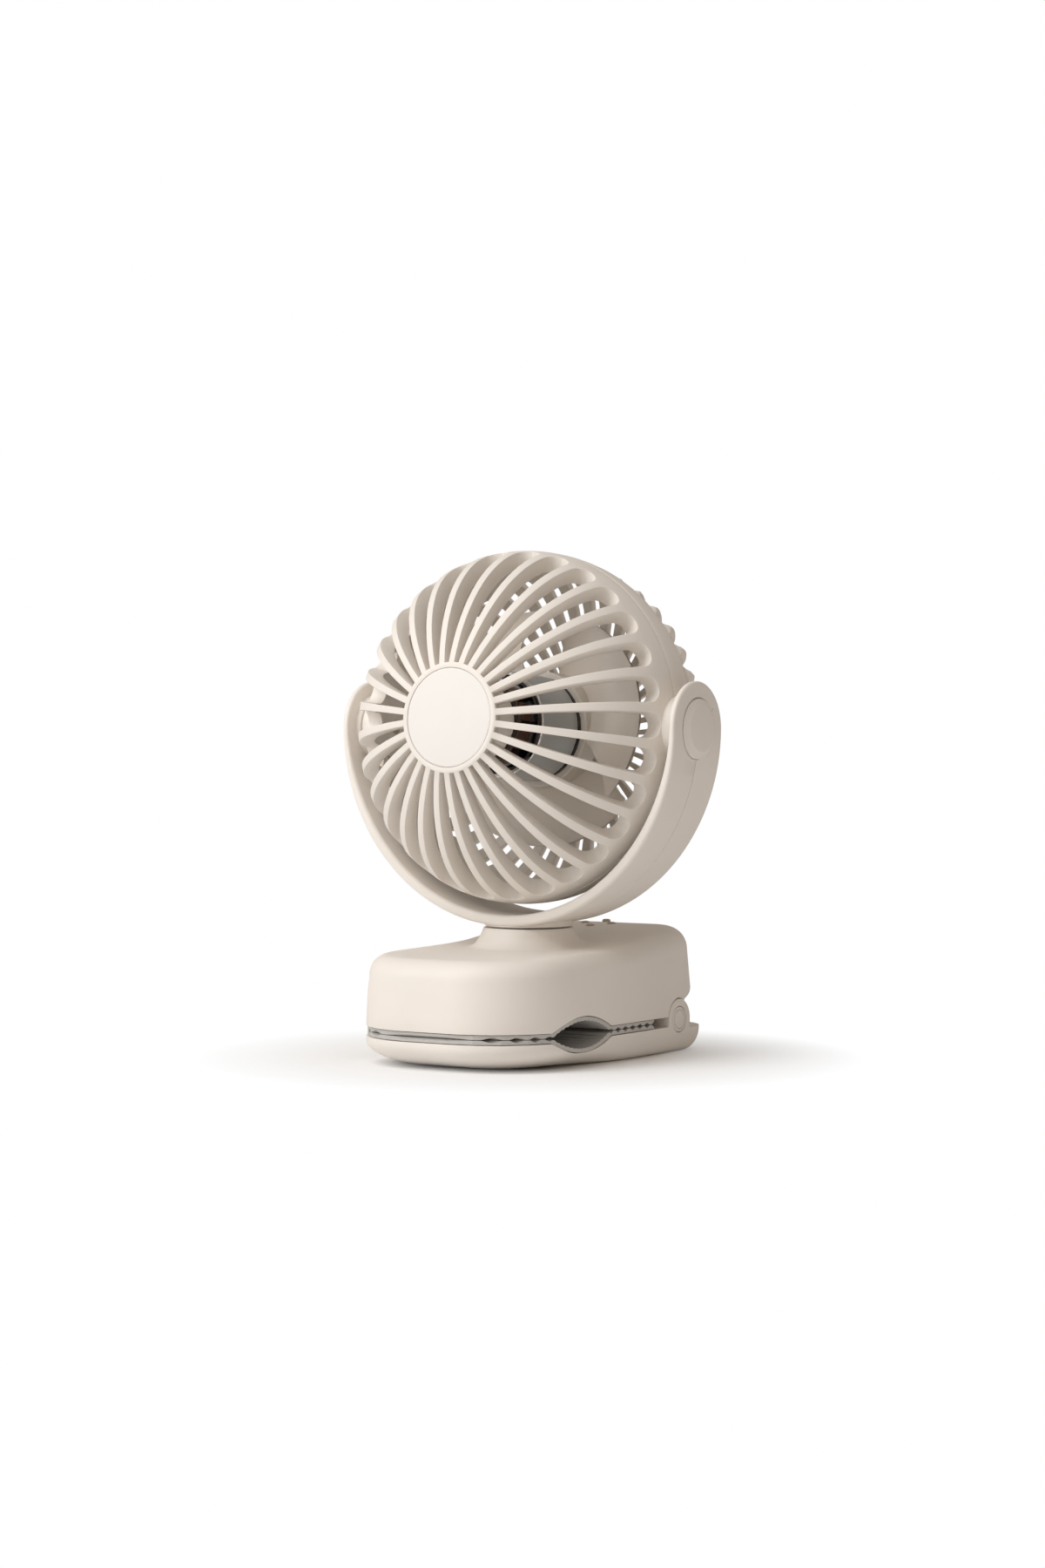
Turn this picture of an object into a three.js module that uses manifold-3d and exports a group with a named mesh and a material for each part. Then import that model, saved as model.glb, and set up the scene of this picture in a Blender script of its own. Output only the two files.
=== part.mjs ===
// Clip fan: a caged fan head on a U-shaped yoke that swivels on a battery base,
// whose underside closes on a second, sprung jaw. Millimetres, +Z up, the fan
// blows towards -Y, the origin is on the floor under the neck.
import * as THREE from 'three';
import { mergeVertices } from 'three/addons/utils/BufferGeometryUtils.js';
import Module from 'manifold-3d';

const wasm = await Module();
wasm.setup();

// ---- clearances ----
const SEAT_GAP = 0.3;          // between pieces that rest on each other
const RUN_GAP = 0.5;           // between pieces that turn or slide past each other

// ---- base (upper shell of the clip) ----
const BASE_HALF_WIDTH = 45.4;
const BASE_FRONT = 73.6;       // neck axis to the front wall
const BASE_REAR = 68.0;        // neck axis to the rear wall
const FRONT_CORNER = 35.5;     // plan radius of the front corners
const REAR_CORNER = 20.0;
const BASE_WALL = 2.2;
const SHELL_EDGE = 15.4;       // height of the shell's lower edge above the floor
const WALL_DRAFT = 0.044;      // inward lean of the walls, mm per mm of height
const REAR_LEAN = 0.055;       // extra lean of the rear wall
const TOP_ROUND = 8.0;         // radius between the walls and the top
const TOP_FRONT = 43.2;        // height of the top at the front wall
const TOP_NECK = 44.7;         // height of the top where the rear slope starts
const TOP_REAR = 51.2;         // height of the top at the rear wall
const SLOPE_START = 5.0;       // Y where the rear slope starts
const SLOPE_SOFTNESS = 5.0;

// ---- neck ----
const NECK_RADIUS = 18.2;
const NECK_TOP = 52.4;
const NECK_SPREAD = 8.8;       // how far the flared foot reaches beyond the neck
const NECK_FLARE = 3.2;        // power of the flare's curve
const NECK_ROOF = 3.0;
const NUT_ROOM = 13.8;         // radius of the space for the swivel nut

// ---- jaws ----
const JAW_REAR = 73.6;         // neck axis to the end of the squeeze lever
const JAW_TOP = 11.2;
const JAW_ROUND = 9.5;         // radius of the lower jaw's bottom edge
const JAW_WALL = 2.2;
const LEVER_TOP = 10.0;
const LEVER_ROOF = 20.3;       // underside of the shell above the lever
const LEVER_ROLL = 6.0;        // rounded end of that underside
const PLATE = 2.0;             // inner jaw plates
const NOTCH_FRONT = -49.9;     // rod notch across both jaws
const NOTCH_BACK = -9.0;
const NOTCH_RISE = 5.3;
const NOTCH_DROP = 5.0;
const PAD_LAYER = 0.75;        // rubber under the teeth
const TOOTH_PITCH = 5.5;
const RIDGE_PITCH = 2.75;      // finer ridges inside the notch
const PAD_INSET = 0.6;         // pad edge inside the jaw outline
const PAD_BACK = 24.3;
const STEP_BACK = 31.0;        // Y where the jaws' inner step ends

// ---- jaw hinge ----
const HINGE_Y = 43.3;
const HINGE_Z = 13.9;
const EAR_RADIUS = 8.3;
const EAR_THICK = 9.2;
const PIN_RADIUS = 2.5;
const PIN_CAP_RADIUS = 5.2;
const PIN_CAP_THICK = 1.1;
const PIN_GROOVE = 1.1;        // turned groove inside the cap's edge
const PIN_GROOVE_DEPTH = 0.4;
const KNUCKLE_RADIUS = 6.4;
const KNUCKLE_LENGTH = 9.0;
const SPRING_WIRE = 0.6;       // radius of the spring wire
const SPRING_RADIUS = 4.4;
const SPRING_TURNS = 7;
const SPRING_LENGTH = 22.0;

// ---- keys, board, socket and cells in the base ----
const KEY_RADIUS = 1.75;
const KEY_RISE = 0.9;          // how far a key stands out of the top
const KEY_TRAVEL = 0.8;
const KEY_FLANGE = 2.5;
const KEY_FLANGE_THICK = 0.8;
const KEY_Y = 53.4;            // middle of the four keys
const KEY_SIDE = 6.5;          // half the diamond's width
const KEY_REACH = 6.4;         // half the diamond's depth
const BOARD_TOP = 40.6;
const BOARD_THICK = 1.6;
const BOARD_HALF_WIDTH = 20.0;
const BOARD_FRONT = 35.5;
const BOARD_BACK = 61.5;
const SWITCH_HALF = 2.2;
const SWITCH_HEIGHT = 2.4;
const POST_RADIUS = 2.0;
const SOCKET_WIDTH = 8.9;
const SOCKET_HEIGHT = 3.2;
const SOCKET_WALL = 0.35;
const SOCKET_DEPTH = 7.5;
const CELL_RADIUS = 8.0;
const CELL_LENGTH = 65.0;
const CELL_FRONT_Y = -44.5;
const CELL_SPACING = 22.5;
const TRAY_THICK = 1.5;
const TRAY_RIM = 5.0;          // how high the tray grips the cells
const TRAY_LEG = 5.0;

// ---- fan head ----
const HEAD_TILT = THREE.MathUtils.degToRad(4.5);   // front raised, as it stands
const DOME_RADIUS = 71.2;
const DOME_DEPTH = 56.0;
const SEAM_Y = -4.0;           // joint plane of the front grille and rear shell
const GRILLE_DEPTH = 6.5;      // depth of the front ribs
const RIM_WALL = 2.4;
const RIB_COUNT = 30;
const HUB_RADIUS = 21.9;
const DISC_RADIUS = 19.5;
const DISC_THICK = 1.4;
const HUB_PLATE = 4.6;
const HUB_RAISE = 0.4;         // hub ring in front of the dome
const LAP_DEPTH = 3.5;
const RIB_HUB_WIDTH = 2.6;     // rib width at the hub
const RIB_RIM_WIDTH = 4.6;     // rib width before the slot's round end
const RIB_BACK_SHARE = 0.72;   // rib width at its back edge, as a share of its front
const SLOT_END = 80.0;         // degrees from the pole to the slot's outer end
const REAR_START = 10.0;       // Y where the rear cage springs from the band
const REAR_INSET = 1.7;        // rear cage inside the front dome's radius
const REAR_DEPTH = 34.5;
const REAR_SQUARE = 2.6;       // superellipse power of the rear cage
const REAR_RIB_DEPTH = 6.0;
const REAR_RIB_COUNT = 40;
const REAR_RIB_TURN = 2.0;     // degrees that the rear ribs are turned
const REAR_HUB_RADIUS = 24.0;
const REAR_SLOT_HUB = 2.2;     // slot width at the rear hub
const REAR_SLOT_RIM = 4.2;
const REAR_SLOT_END = 82.0;    // degrees from the pole to the rear slots' end
const REAR_RIB_TAPER = 0.9;    // how much narrower a rear rib is outside, each side
const BAND_MIDDLE = 7.0;
const BAND_END = 12.5;

// ---- tilt pivots ----
const BOSS_RADIUS = 10.5;
const BOSS_EDGE = 0.8;
const STUB_RADIUS = 5.0;
const STUB_BORE = 3.0;
const FLANGE_RADIUS = 12.2;
const FLANGE_THICK = 2.0;
const ARM_WEB = 1.5;           // arm wall that carries the stub
const WASHER_RADIUS = 8.8;
const WASHER_THICK = 0.8;
const CAP_RADIUS = 11.9;
const CAP_FACE_RADIUS = 9.9;
const CAP_THICK = 1.2;
const CAP_RAISE = 0.9;
const CAP_SINK = 0.5;
const CAP_EDGE = 0.4;

// ---- yoke ----
const HEAD_CLEARANCE = 3.8;
const YOKE_WALL = 4.5;
const YOKE_HALF_DEPTH = 18.7;
const YOKE_EDGE = 1.2;         // rounding of the band's edges
const YOKE_LIP = 0.6;          // how far the neck boss stands below the band
const BOSS_FOOT_RADIUS = 17.8;
const SHAFT_RADIUS = 8.0;
const SHAFT_BORE = 5.0;
const SHAFT_FLANGE = 10.0;
const SHAFT_FLANGE_THICK = 1.6;
const NUT_RADIUS = 12.6;
const NUT_THICK = 2.5;
const SWIVEL_WASHER = 0.8;
const LEAD_RADIUS = 0.9;

// ---- motor and fan ----
const CAN_RADIUS = 21.5;
const CAN_FRONT = -23.0;
const CAN_BACK = 4.0;
const CAN_WALL = 1.4;
const MAGNET_THICK = 1.2;
const AIR_GAP = 0.6;
const CORE_LENGTH = 19.0;
const CORE_TEETH = 9;
const COIL_LENGTH = 7.0;
const TUBE_RADIUS = 4.0;       // bearing tube in the stator
const SHAFT_PIN_RADIUS = 2.0;
const PEDESTAL_RADIUS = 15.0;
const MOTOR_BOARD_RADIUS = 17.0;
const MOTOR_BOARD_THICK = 1.6;
const RING_THICK = 1.6;        // rubber ring behind the can
const FAN_HUB_RADIUS = 23.6;
const FAN_HUB_LENGTH = 13.0;
const FAN_HUB_WALL = 1.8;
const BLADE_COUNT = 5;
const BLADE_TIP_RADIUS = 59.5;
const BLADE_THICK = 1.5;
const BLADE_SPAN = 58.0;       // degrees of the circle that one blade covers
const BLADE_FRONT = -13.0;
const BLADE_REAR = 19.0;
const BLADE_CROWN = 0.12;      // how far the middle of a blade bows to the rear

// ---- fineness ----
const ROUND = 32;              // sides of a large round piece
const SMALL_ROUND = 24;        // of a smaller one
const TINY_ROUND = 12;         // of pins, posts and keys
const CORNER_STEPS = 5;        // sides of a quarter turn of the base's corners
const PAST = 9.0;              // how far a cutting tool runs past what it cuts

// ---- sizes that follow from those above ----
const REAR_RADIUS = DOME_RADIUS - REAR_INSET;
const YOKE_INNER = DOME_RADIUS + HEAD_CLEARANCE;
const YOKE_RADIUS = YOKE_INNER + YOKE_WALL;
const PIVOT_Z = NECK_TOP + RUN_GAP + YOKE_LIP + YOKE_RADIUS;
const HALF_PITCH = Math.PI / RIB_COUNT;
const PAD_THICK = (SHELL_EDGE - JAW_TOP) / 2 - 1.5 * SEAT_GAP;

const rad = THREE.MathUtils.degToRad;
const lerp = THREE.MathUtils.lerp;

// ================= geometry tools =================

// Welds a geometry into one skin and turns it the right way out.
function closed(geometry) {
  const bare = new THREE.BufferGeometry();
  bare.setAttribute('position', geometry.getAttribute('position').clone());
  if (geometry.index) bare.setIndex(geometry.index.clone());
  const welded = mergeVertices(bare, 1e-4);
  const p = welded.getAttribute('position');
  const faces = [];
  let volume = 0;
  const a = new THREE.Vector3();
  const b = new THREE.Vector3();
  const c = new THREE.Vector3();
  for (let i = 0; i < welded.index.count; i += 3) {
    const [u, v, w] = [0, 1, 2].map((k) => welded.index.getX(i + k));
    if (u === v || v === w || w === u) continue;
    faces.push([u, v, w]);
    a.fromBufferAttribute(p, u);
    b.fromBufferAttribute(p, v);
    c.fromBufferAttribute(p, w);
    volume += a.dot(b.cross(c));
  }
  welded.setIndex(faces.flatMap((f) => (volume < 0 ? [f[0], f[2], f[1]] : f)));
  return welded;
}

function solid(geometry) {
  const skin = closed(geometry);
  return new wasm.Manifold(new wasm.Mesh({
    numProp: 3,
    vertProperties: new Float32Array(skin.getAttribute('position').array),
    triVerts: new Uint32Array(skin.index.array),
  }));
}

function skinOf(body) {
  const mesh = body.getMesh();
  const geometry = new THREE.BufferGeometry();
  geometry.setAttribute('position', new THREE.BufferAttribute(mesh.vertProperties, 3));
  geometry.setIndex(new THREE.BufferAttribute(mesh.triVerts, 1));
  return geometry;
}

const joined = (...bodies) => bodies.reduce((sum, body) => sum.add(body));
const cutBy = (body, ...tools) => tools.reduce((rest, tool) => rest.subtract(tool), body);

// A body of revolution about Y from [radius, y] pairs.
function turned(profile, sides = ROUND) {
  return new THREE.LatheGeometry(profile.map(([r, y]) => new THREE.Vector2(r, y)), sides);
}

// A plain round rod or tube about Y between two planes.
function rod(radius, y0, y1, sides = ROUND, bore = 0) {
  if (bore === 0) return turned([[0, y0], [radius, y0], [radius, y1], [0, y1]], sides);
  return turned([[bore, y0], [radius, y0], [radius, y1], [bore, y1], [bore, y0]], sides);
}

const aboutX = (geometry) => geometry.rotateZ(-Math.PI / 2);
const aboutZ = (geometry) => geometry.rotateX(Math.PI / 2);

function block(x0, x1, y0, y1, z0, z1) {
  const box = new THREE.BoxGeometry(x1 - x0, y1 - y0, z1 - z0);
  return box.translate((x0 + x1) / 2, (y0 + y1) / 2, (z0 + z1) / 2);
}

// A closed skin through a stack of rings that hold the same number of points.
function loft(rings) {
  const count = rings[0].length;
  const points = rings.flat();
  const faces = [];
  for (let k = 0; k + 1 < rings.length; k += 1) {
    for (let i = 0; i < count; i += 1) {
      const j = (i + 1) % count;
      const [a, b] = [k * count + i, k * count + j];
      faces.push(a, b, b + count, a, b + count, a + count);
    }
  }
  for (const [k, flip] of [[0, true], [rings.length - 1, false]]) {
    const centre = new THREE.Vector3();
    rings[k].forEach((q) => centre.addScaledVector(q, 1 / count));
    points.push(centre);
    for (let i = 0; i < count; i += 1) {
      const [a, b] = [k * count + i, k * count + ((i + 1) % count)];
      faces.push(...(flip ? [b, a] : [a, b]), points.length - 1);
    }
  }
  const geometry = new THREE.BufferGeometry().setFromPoints(points);
  geometry.setIndex(faces);
  return geometry;
}

// A side outline, drawn in Y and Z, carried across X from -half to +half.
function across(shape, half, curveSegments = 10) {
  const geometry = new THREE.ExtrudeGeometry(shape, {
    depth: 2 * half, bevelEnabled: false, curveSegments,
  });
  const turn = new THREE.Matrix4().makeBasis(
    new THREE.Vector3(0, 1, 0),
    new THREE.Vector3(0, 0, 1),
    new THREE.Vector3(1, 0, 0),
  );
  return geometry.applyMatrix4(turn).translate(-half, 0, 0);
}

function shapeOf(points) {
  return new THREE.Shape(points.map(([u, v]) => new THREE.Vector2(u, v)));
}

// ================= base outline and top =================

// Plan outline of the clip, drawn inwards by an inset, with its own rear end.
function planOutline(inset, rear) {
  const half = BASE_HALF_WIDTH - inset;
  const front = -BASE_FRONT + inset;
  const back = rear - inset;
  const rf = Math.max(FRONT_CORNER - inset, 1);
  const rb = Math.max(REAR_CORNER - inset, 1);
  const points = [];
  const corner = (cx, cy, r, start) => {
    for (let i = 0; i <= CORNER_STEPS; i += 1) {
      const t = rad(start + (90 * i) / CORNER_STEPS);
      points.push([cx + r * Math.cos(t), cy + r * Math.sin(t)]);
    }
  };
  const side = (x, y0, y1) => {
    const steps = 5;
    for (let i = 1; i < steps; i += 1) points.push([x, lerp(y0, y1, i / steps)]);
  };
  corner(half - rf, front + rf, rf, -90);
  side(half, front + rf, back - rb);
  corner(half - rb, back - rb, rb, 0);
  corner(-half + rb, back - rb, rb, 90);
  side(-half, back - rb, front + rf);
  corner(-half + rf, front + rf, rf, 180);
  return points;
}

// Height of the base's top at a given Y: near level, then sloping up to the rear.
function topHeight(y) {
  const level = (TOP_NECK - TOP_FRONT) / (SLOPE_START + BASE_FRONT);
  const climb = (TOP_REAR - TOP_NECK) / (BASE_REAR - SLOPE_START) - level;
  const bend = SLOPE_SOFTNESS * Math.log1p(Math.exp((y - SLOPE_START) / SLOPE_SOFTNESS));
  return TOP_NECK + level * (y - SLOPE_START) + climb * bend;
}

// Height of the shell's inside at a given Y on the middle line, near the rear wall.
function roofOver(y) {
  const lean = (REAR_LEAN + WALL_DRAFT) * (TOP_NECK - SHELL_EDGE);
  const round = TOP_ROUND - BASE_WALL;
  const into = Math.max(0, y - (BASE_REAR - lean - TOP_ROUND));
  return topHeight(y) - TOP_ROUND + Math.sqrt(round * round - into * into);
}

// The outer form of the base, drawn inwards by an inset, from a bottom height up.
function baseForm(inset, bottom) {
  const rings = [];
  const wallInset = (z) => inset + WALL_DRAFT * (z - SHELL_EDGE);
  const rearAt = (z) => BASE_REAR - REAR_LEAN * (z - SHELL_EDGE);
  const ring = (extra, heightOf) => planOutline(wallInset(TOP_NECK) + extra, rearAt(TOP_NECK))
    .map(([x, y]) => new THREE.Vector3(x, y, heightOf(y)));
  rings.push(planOutline(wallInset(bottom), rearAt(bottom))
    .map(([x, y]) => new THREE.Vector3(x, y, bottom)));
  const round = TOP_ROUND - inset;
  for (let i = 0; i <= 4; i += 1) {
    const t = (i / 4) * (Math.PI / 2);
    const draw = round * (1 - Math.cos(t));
    const drop = round * (1 - Math.sin(t)) + inset;
    rings.push(ring(draw, (y) => topHeight(y) - drop));
  }
  const foot = NECK_RADIUS + NECK_SPREAD - inset;
  const edge = rings[rings.length - 1];
  const circle = (r, heightOf) => edge.map((q) => {
    const t = Math.atan2(q.y, q.x);
    return new THREE.Vector3(r * Math.cos(t), r * Math.sin(t), heightOf(r * Math.sin(t)));
  });
  const inner = circle(foot, (y) => topHeight(y) - inset);
  rings.push(edge.map((q, i) => {
    const middle = q.clone().lerp(inner[i], 0.5);
    middle.z = topHeight(middle.y) - inset;
    return middle;
  }));
  rings.push(inner);
  for (const share of [0.4, 0.65, 0.85, 1]) {
    const rise = share ** NECK_FLARE;
    rings.push(circle(foot - share * NECK_SPREAD, (y) => lerp(topHeight(y), NECK_TOP, rise) - inset));
  }
  return solid(loft(rings));
}

// Lower edge of the shell seen from the side, raised by an offset, as [y, z] points.
function shellUnderside(offset) {
  const points = [];
  points.push([-BASE_FRONT - PAST, SHELL_EDGE + offset]);
  points.push(...arch(NOTCH_FRONT, NOTCH_BACK, SHELL_EDGE, NOTCH_RISE, offset));
  const room = EAR_RADIUS + RUN_GAP + offset;
  const start = Math.PI - Math.asin((SHELL_EDGE + offset - HINGE_Z) / room);
  const end = Math.asin((LEVER_ROOF + offset - HINGE_Z) / room);
  for (let i = 0; i <= 8; i += 1) {
    const t = lerp(start, end, i / 8);
    points.push([HINGE_Y + room * Math.cos(t), HINGE_Z + room * Math.sin(t)]);
  }
  for (let i = 0; i <= 4; i += 1) {
    const t = (i / 4) * (Math.PI / 2);
    points.push([
      BASE_REAR - LEVER_ROLL + LEVER_ROLL * Math.sin(t) + SEAT_GAP,
      LEVER_ROOF + offset + LEVER_ROLL * (1 - Math.cos(t)),
    ]);
  }
  points.push([BASE_REAR + PAST, LEVER_ROOF + offset + LEVER_ROLL]);
  return points;
}

// Points of a circular arch between two Y on a level; a negative rise hangs down.
function arch(y0, y1, level, rise, offset, steps = 12) {
  const half = (y1 - y0) / 2;
  const tall = Math.abs(rise);
  const radius = (half * half + tall * tall) / (2 * tall);
  const centre = level + Math.sign(rise) * (tall - radius);
  const grown = radius + offset * Math.sign(rise);
  const reach = Math.asin(Math.sqrt(Math.max(0, 1 - ((level + offset - centre) / grown) ** 2)));
  const points = [];
  for (let i = 0; i <= steps; i += 1) {
    const t = lerp(-reach, reach, i / steps);
    points.push([
      (y0 + y1) / 2 + grown * Math.sin(t),
      centre + Math.sign(rise) * grown * Math.cos(t),
    ]);
  }
  return points;
}

// ================= base pieces =================

const KEYS = [
  ['front', 0, -KEY_REACH],
  ['left', -KEY_SIDE, 0],
  ['right', KEY_SIDE, 0],
  ['rear', 0, KEY_REACH],
].map(([name, dx, dy]) => ({ name, x: dx, y: KEY_Y + dy }));

const POSTS = [-1, 1].flatMap((side) => [BOARD_FRONT + POST_RADIUS, BOARD_BACK - POST_RADIUS]
  .map((y) => ({ x: side * (BOARD_HALF_WIDTH - POST_RADIUS), y })));

const SOCKET_TOP = BOARD_TOP - BOARD_THICK - SEAT_GAP;

function baseShell() {
  const below = shapeOf([
    [-BASE_FRONT - PAST, -9],
    ...shellUnderside(0),
    [BASE_REAR + PAST, -9],
  ]);
  const wide = BASE_HALF_WIDTH + PAST;
  let body = cutBy(
    baseForm(0, SHELL_EDGE - PAST),
    baseForm(BASE_WALL, SHELL_EDGE - 12),
  );
  for (const post of POSTS) {
    const stem = rod(POST_RADIUS, BOARD_TOP + SEAT_GAP, topHeight(post.y) - BASE_WALL / 2, TINY_ROUND);
    body = body.add(solid(aboutZ(stem).translate(post.x, post.y, 0)));
  }
  const neckRoom = aboutZ(rod(NUT_ROOM, BOARD_TOP - 6, NECK_TOP - NECK_ROOF));
  const neckPlug = aboutZ(rod(NECK_RADIUS - 1, NECK_TOP - NECK_ROOF, NECK_TOP));
  const bore = aboutZ(rod(SHAFT_RADIUS + RUN_GAP, BOARD_TOP - 6, NECK_TOP + PAST));
  body = cutBy(body.add(solid(neckPlug)), solid(neckRoom), solid(bore));
  for (const key of KEYS) {
    const hole = aboutZ(rod(KEY_RADIUS + SEAT_GAP, BOARD_TOP, TOP_REAR + PAST, TINY_ROUND));
    body = body.subtract(solid(hole.translate(key.x, key.y, 0)));
  }
  const mouth = block(
    -SOCKET_WIDTH / 2 - SEAT_GAP, SOCKET_WIDTH / 2 + SEAT_GAP,
    BOARD_BACK - 3, BASE_REAR + PAST,
    SOCKET_TOP - SOCKET_HEIGHT - SEAT_GAP, SOCKET_TOP + SEAT_GAP,
  );
  return cutBy(body, solid(mouth), solid(across(below, wide)));
}

// The plan of the clip as a tall prism, drawn inwards.
function planPrism(inset, rear, z0, z1) {
  const lay = (z) => planOutline(inset, rear).map(([x, y]) => new THREE.Vector3(x, y, z));
  return solid(loft([lay(z0), lay(z1)]));
}

// The plate that closes the shell: it follows the shell's underside from inside
// and carries the hinge knuckles.
function jawPlate() {
  const lower = shellUnderside(SEAT_GAP / 2);
  const upper = shellUnderside(SEAT_GAP / 2 + PLATE).reverse();
  const inset = BASE_WALL + SEAT_GAP + WALL_DRAFT * (LEVER_ROOF + PLATE - SHELL_EDGE);
  const rear = BASE_REAR - REAR_LEAN * (LEVER_ROOF + LEVER_ROLL - SHELL_EDGE);
  const band = solid(across(shapeOf([...lower, ...upper]), BASE_HALF_WIDTH));
  let body = band.intersect(planPrism(inset, rear, 0, TOP_NECK));
  const outer = BASE_HALF_WIDTH - EAR_THICK - RUN_GAP;
  for (const side of [-1, 1]) {
    const from = Math.min(side * outer, side * (outer - KNUCKLE_LENGTH));
    const knuckle = rod(KNUCKLE_RADIUS, from, from + KNUCKLE_LENGTH, SMALL_ROUND);
    const web = block(
      from, from + KNUCKLE_LENGTH,
      HINGE_Y - KNUCKLE_RADIUS * 0.7, HINGE_Y + KNUCKLE_RADIUS * 0.7,
      HINGE_Z, HINGE_Z + EAR_RADIUS + RUN_GAP + SEAT_GAP,
    );
    body = body.add(solid(aboutX(knuckle).translate(0, HINGE_Y, HINGE_Z))).add(solid(web));
  }
  const hole = aboutX(rod(PIN_RADIUS + SEAT_GAP, -BASE_HALF_WIDTH, BASE_HALF_WIDTH, TINY_ROUND));
  return body.subtract(solid(hole.translate(0, HINGE_Y, HINGE_Z)));
}

// Teeth on one side of a rubber pad: a level run, the notch, and a level run.
// dir is -1 for the upper pad, whose teeth hang down, and +1 for the lower one.
function padOutline(level, rise, dir) {
  const backing = [];
  const tips = [];
  const root = level + dir * SEAT_GAP;
  const valley = root + dir * PAD_LAYER;
  const crest = root + dir * PAD_THICK;
  const run = (y0, y1) => {
    const count = Math.max(1, Math.round((y1 - y0) / TOOTH_PITCH));
    const pitch = (y1 - y0) / count;
    for (let i = 0; i < count; i += 1) {
      const y = y0 + i * pitch;
      tips.push([y + pitch * 0.04, valley], [y + pitch * 0.36, crest]);
      tips.push([y + pitch * 0.64, crest], [y + pitch * 0.96, valley]);
    }
  };
  const arc = arch(NOTCH_FRONT, NOTCH_BACK, level, rise, 0, 14);
  backing.push([-BASE_FRONT - 2, root]);
  arc.forEach(([y, z]) => backing.push([y, z + dir * SEAT_GAP]));
  backing.push([PAD_BACK, root]);
  run(-BASE_FRONT, NOTCH_FRONT);
  const ridges = Math.round((NOTCH_BACK - NOTCH_FRONT) / RIDGE_PITCH);
  const fine = arch(NOTCH_FRONT + 1, NOTCH_BACK - 1, level, rise, 0, 2 * ridges);
  fine.forEach(([y, z], i) => {
    const thick = SEAT_GAP + (i % 2 ? PAD_THICK : PAD_LAYER + PAD_THICK / 3);
    tips.push([y, z + dir * thick]);
  });
  run(NOTCH_BACK, PAD_BACK);
  tips.unshift([-BASE_FRONT - 2, valley]);
  return shapeOf([...backing, ...tips.reverse()]);
}

function pad(level, rise, dir) {
  const strip = solid(across(padOutline(level, rise, dir), BASE_HALF_WIDTH + 2));
  return strip.intersect(planPrism(PAD_INSET, JAW_REAR, -1, TOP_NECK));
}

// Height of the lower jaw's top edge seen from the side, lowered by an offset.
function jawUpperEdge(offset) {
  const points = [[-BASE_FRONT - PAST, JAW_TOP - offset]];
  points.push(...arch(NOTCH_FRONT, NOTCH_BACK, JAW_TOP, -NOTCH_DROP, -offset));
  points.push([PAD_BACK + 1, JAW_TOP - offset]);
  return points;
}

function lowerJaw() {
  const rings = [];
  const lay = (inset, z) => planOutline(inset, JAW_REAR).map(([x, y]) => new THREE.Vector3(x, y, z));
  for (let i = 0; i <= 5; i += 1) {
    const t = (i / 5) * (Math.PI / 2);
    rings.push(lay(JAW_ROUND * (1 - Math.sin(t)), JAW_ROUND * (1 - Math.cos(t))));
  }
  const ceiling = HINGE_Z + EAR_RADIUS + PAST;
  rings.push(lay(0, ceiling));
  const above = [...jawUpperEdge(0), [HINGE_Y - EAR_RADIUS, JAW_TOP]];
  for (let i = 0; i <= 10; i += 1) {
    const t = Math.PI * (1 - i / 10);
    above.push([HINGE_Y + EAR_RADIUS * Math.cos(t), HINGE_Z + EAR_RADIUS * Math.sin(t)]);
  }
  above.push([HINGE_Y + EAR_RADIUS, LEVER_TOP], [JAW_REAR + PAST, LEVER_TOP]);
  above.push([JAW_REAR + PAST, ceiling + PAST], [-BASE_FRONT - PAST, ceiling + PAST]);
  let body = solid(loft(rings)).subtract(solid(across(shapeOf(above), BASE_HALF_WIDTH + PAST)));

  // room for the knuckles and spring between the ears
  const earInside = BASE_HALF_WIDTH - EAR_THICK;
  const room = KNUCKLE_RADIUS + RUN_GAP;
  const gapBox = block(-earInside, earInside, HINGE_Y - EAR_RADIUS - 1, HINGE_Y + EAR_RADIUS + 1,
    LEVER_TOP, ceiling);
  const gapRod = aboutX(rod(room, -earInside, earInside, SMALL_ROUND)).translate(0, HINGE_Y, HINGE_Z);

  // hollow under the plate
  const dish = solid(block(-BASE_HALF_WIDTH, BASE_HALF_WIDTH, -BASE_FRONT, STEP_BACK, JAW_WALL, ceiling))
    .intersect(solid(loft([0, 0.25, 0.6, 1].map((s) => {
      const z = JAW_WALL + s * (JAW_ROUND - JAW_WALL);
      const draw = JAW_ROUND * (1 - Math.sqrt(1 - (1 - z / JAW_ROUND) ** 2));
      return lay(JAW_WALL + draw, z);
    }).concat([lay(JAW_WALL, ceiling)]))));

  const bore = aboutX(rod(PIN_RADIUS + SEAT_GAP, -BASE_HALF_WIDTH - PAST, BASE_HALF_WIDTH + PAST, TINY_ROUND));
  body = cutBy(body, solid(gapBox), solid(gapRod), dish, solid(bore.translate(0, HINGE_Y, HINGE_Z)));
  for (const side of [-1, 1]) {
    const from = side * (BASE_HALF_WIDTH - PIN_CAP_THICK - SEAT_GAP);
    const to = side * (BASE_HALF_WIDTH + PAST);
    const seat = rod(PIN_CAP_RADIUS + SEAT_GAP, Math.min(from, to), Math.max(from, to), SMALL_ROUND);
    body = body.subtract(solid(aboutX(seat).translate(0, HINGE_Y, HINGE_Z)));
  }
  return body;
}

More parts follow.
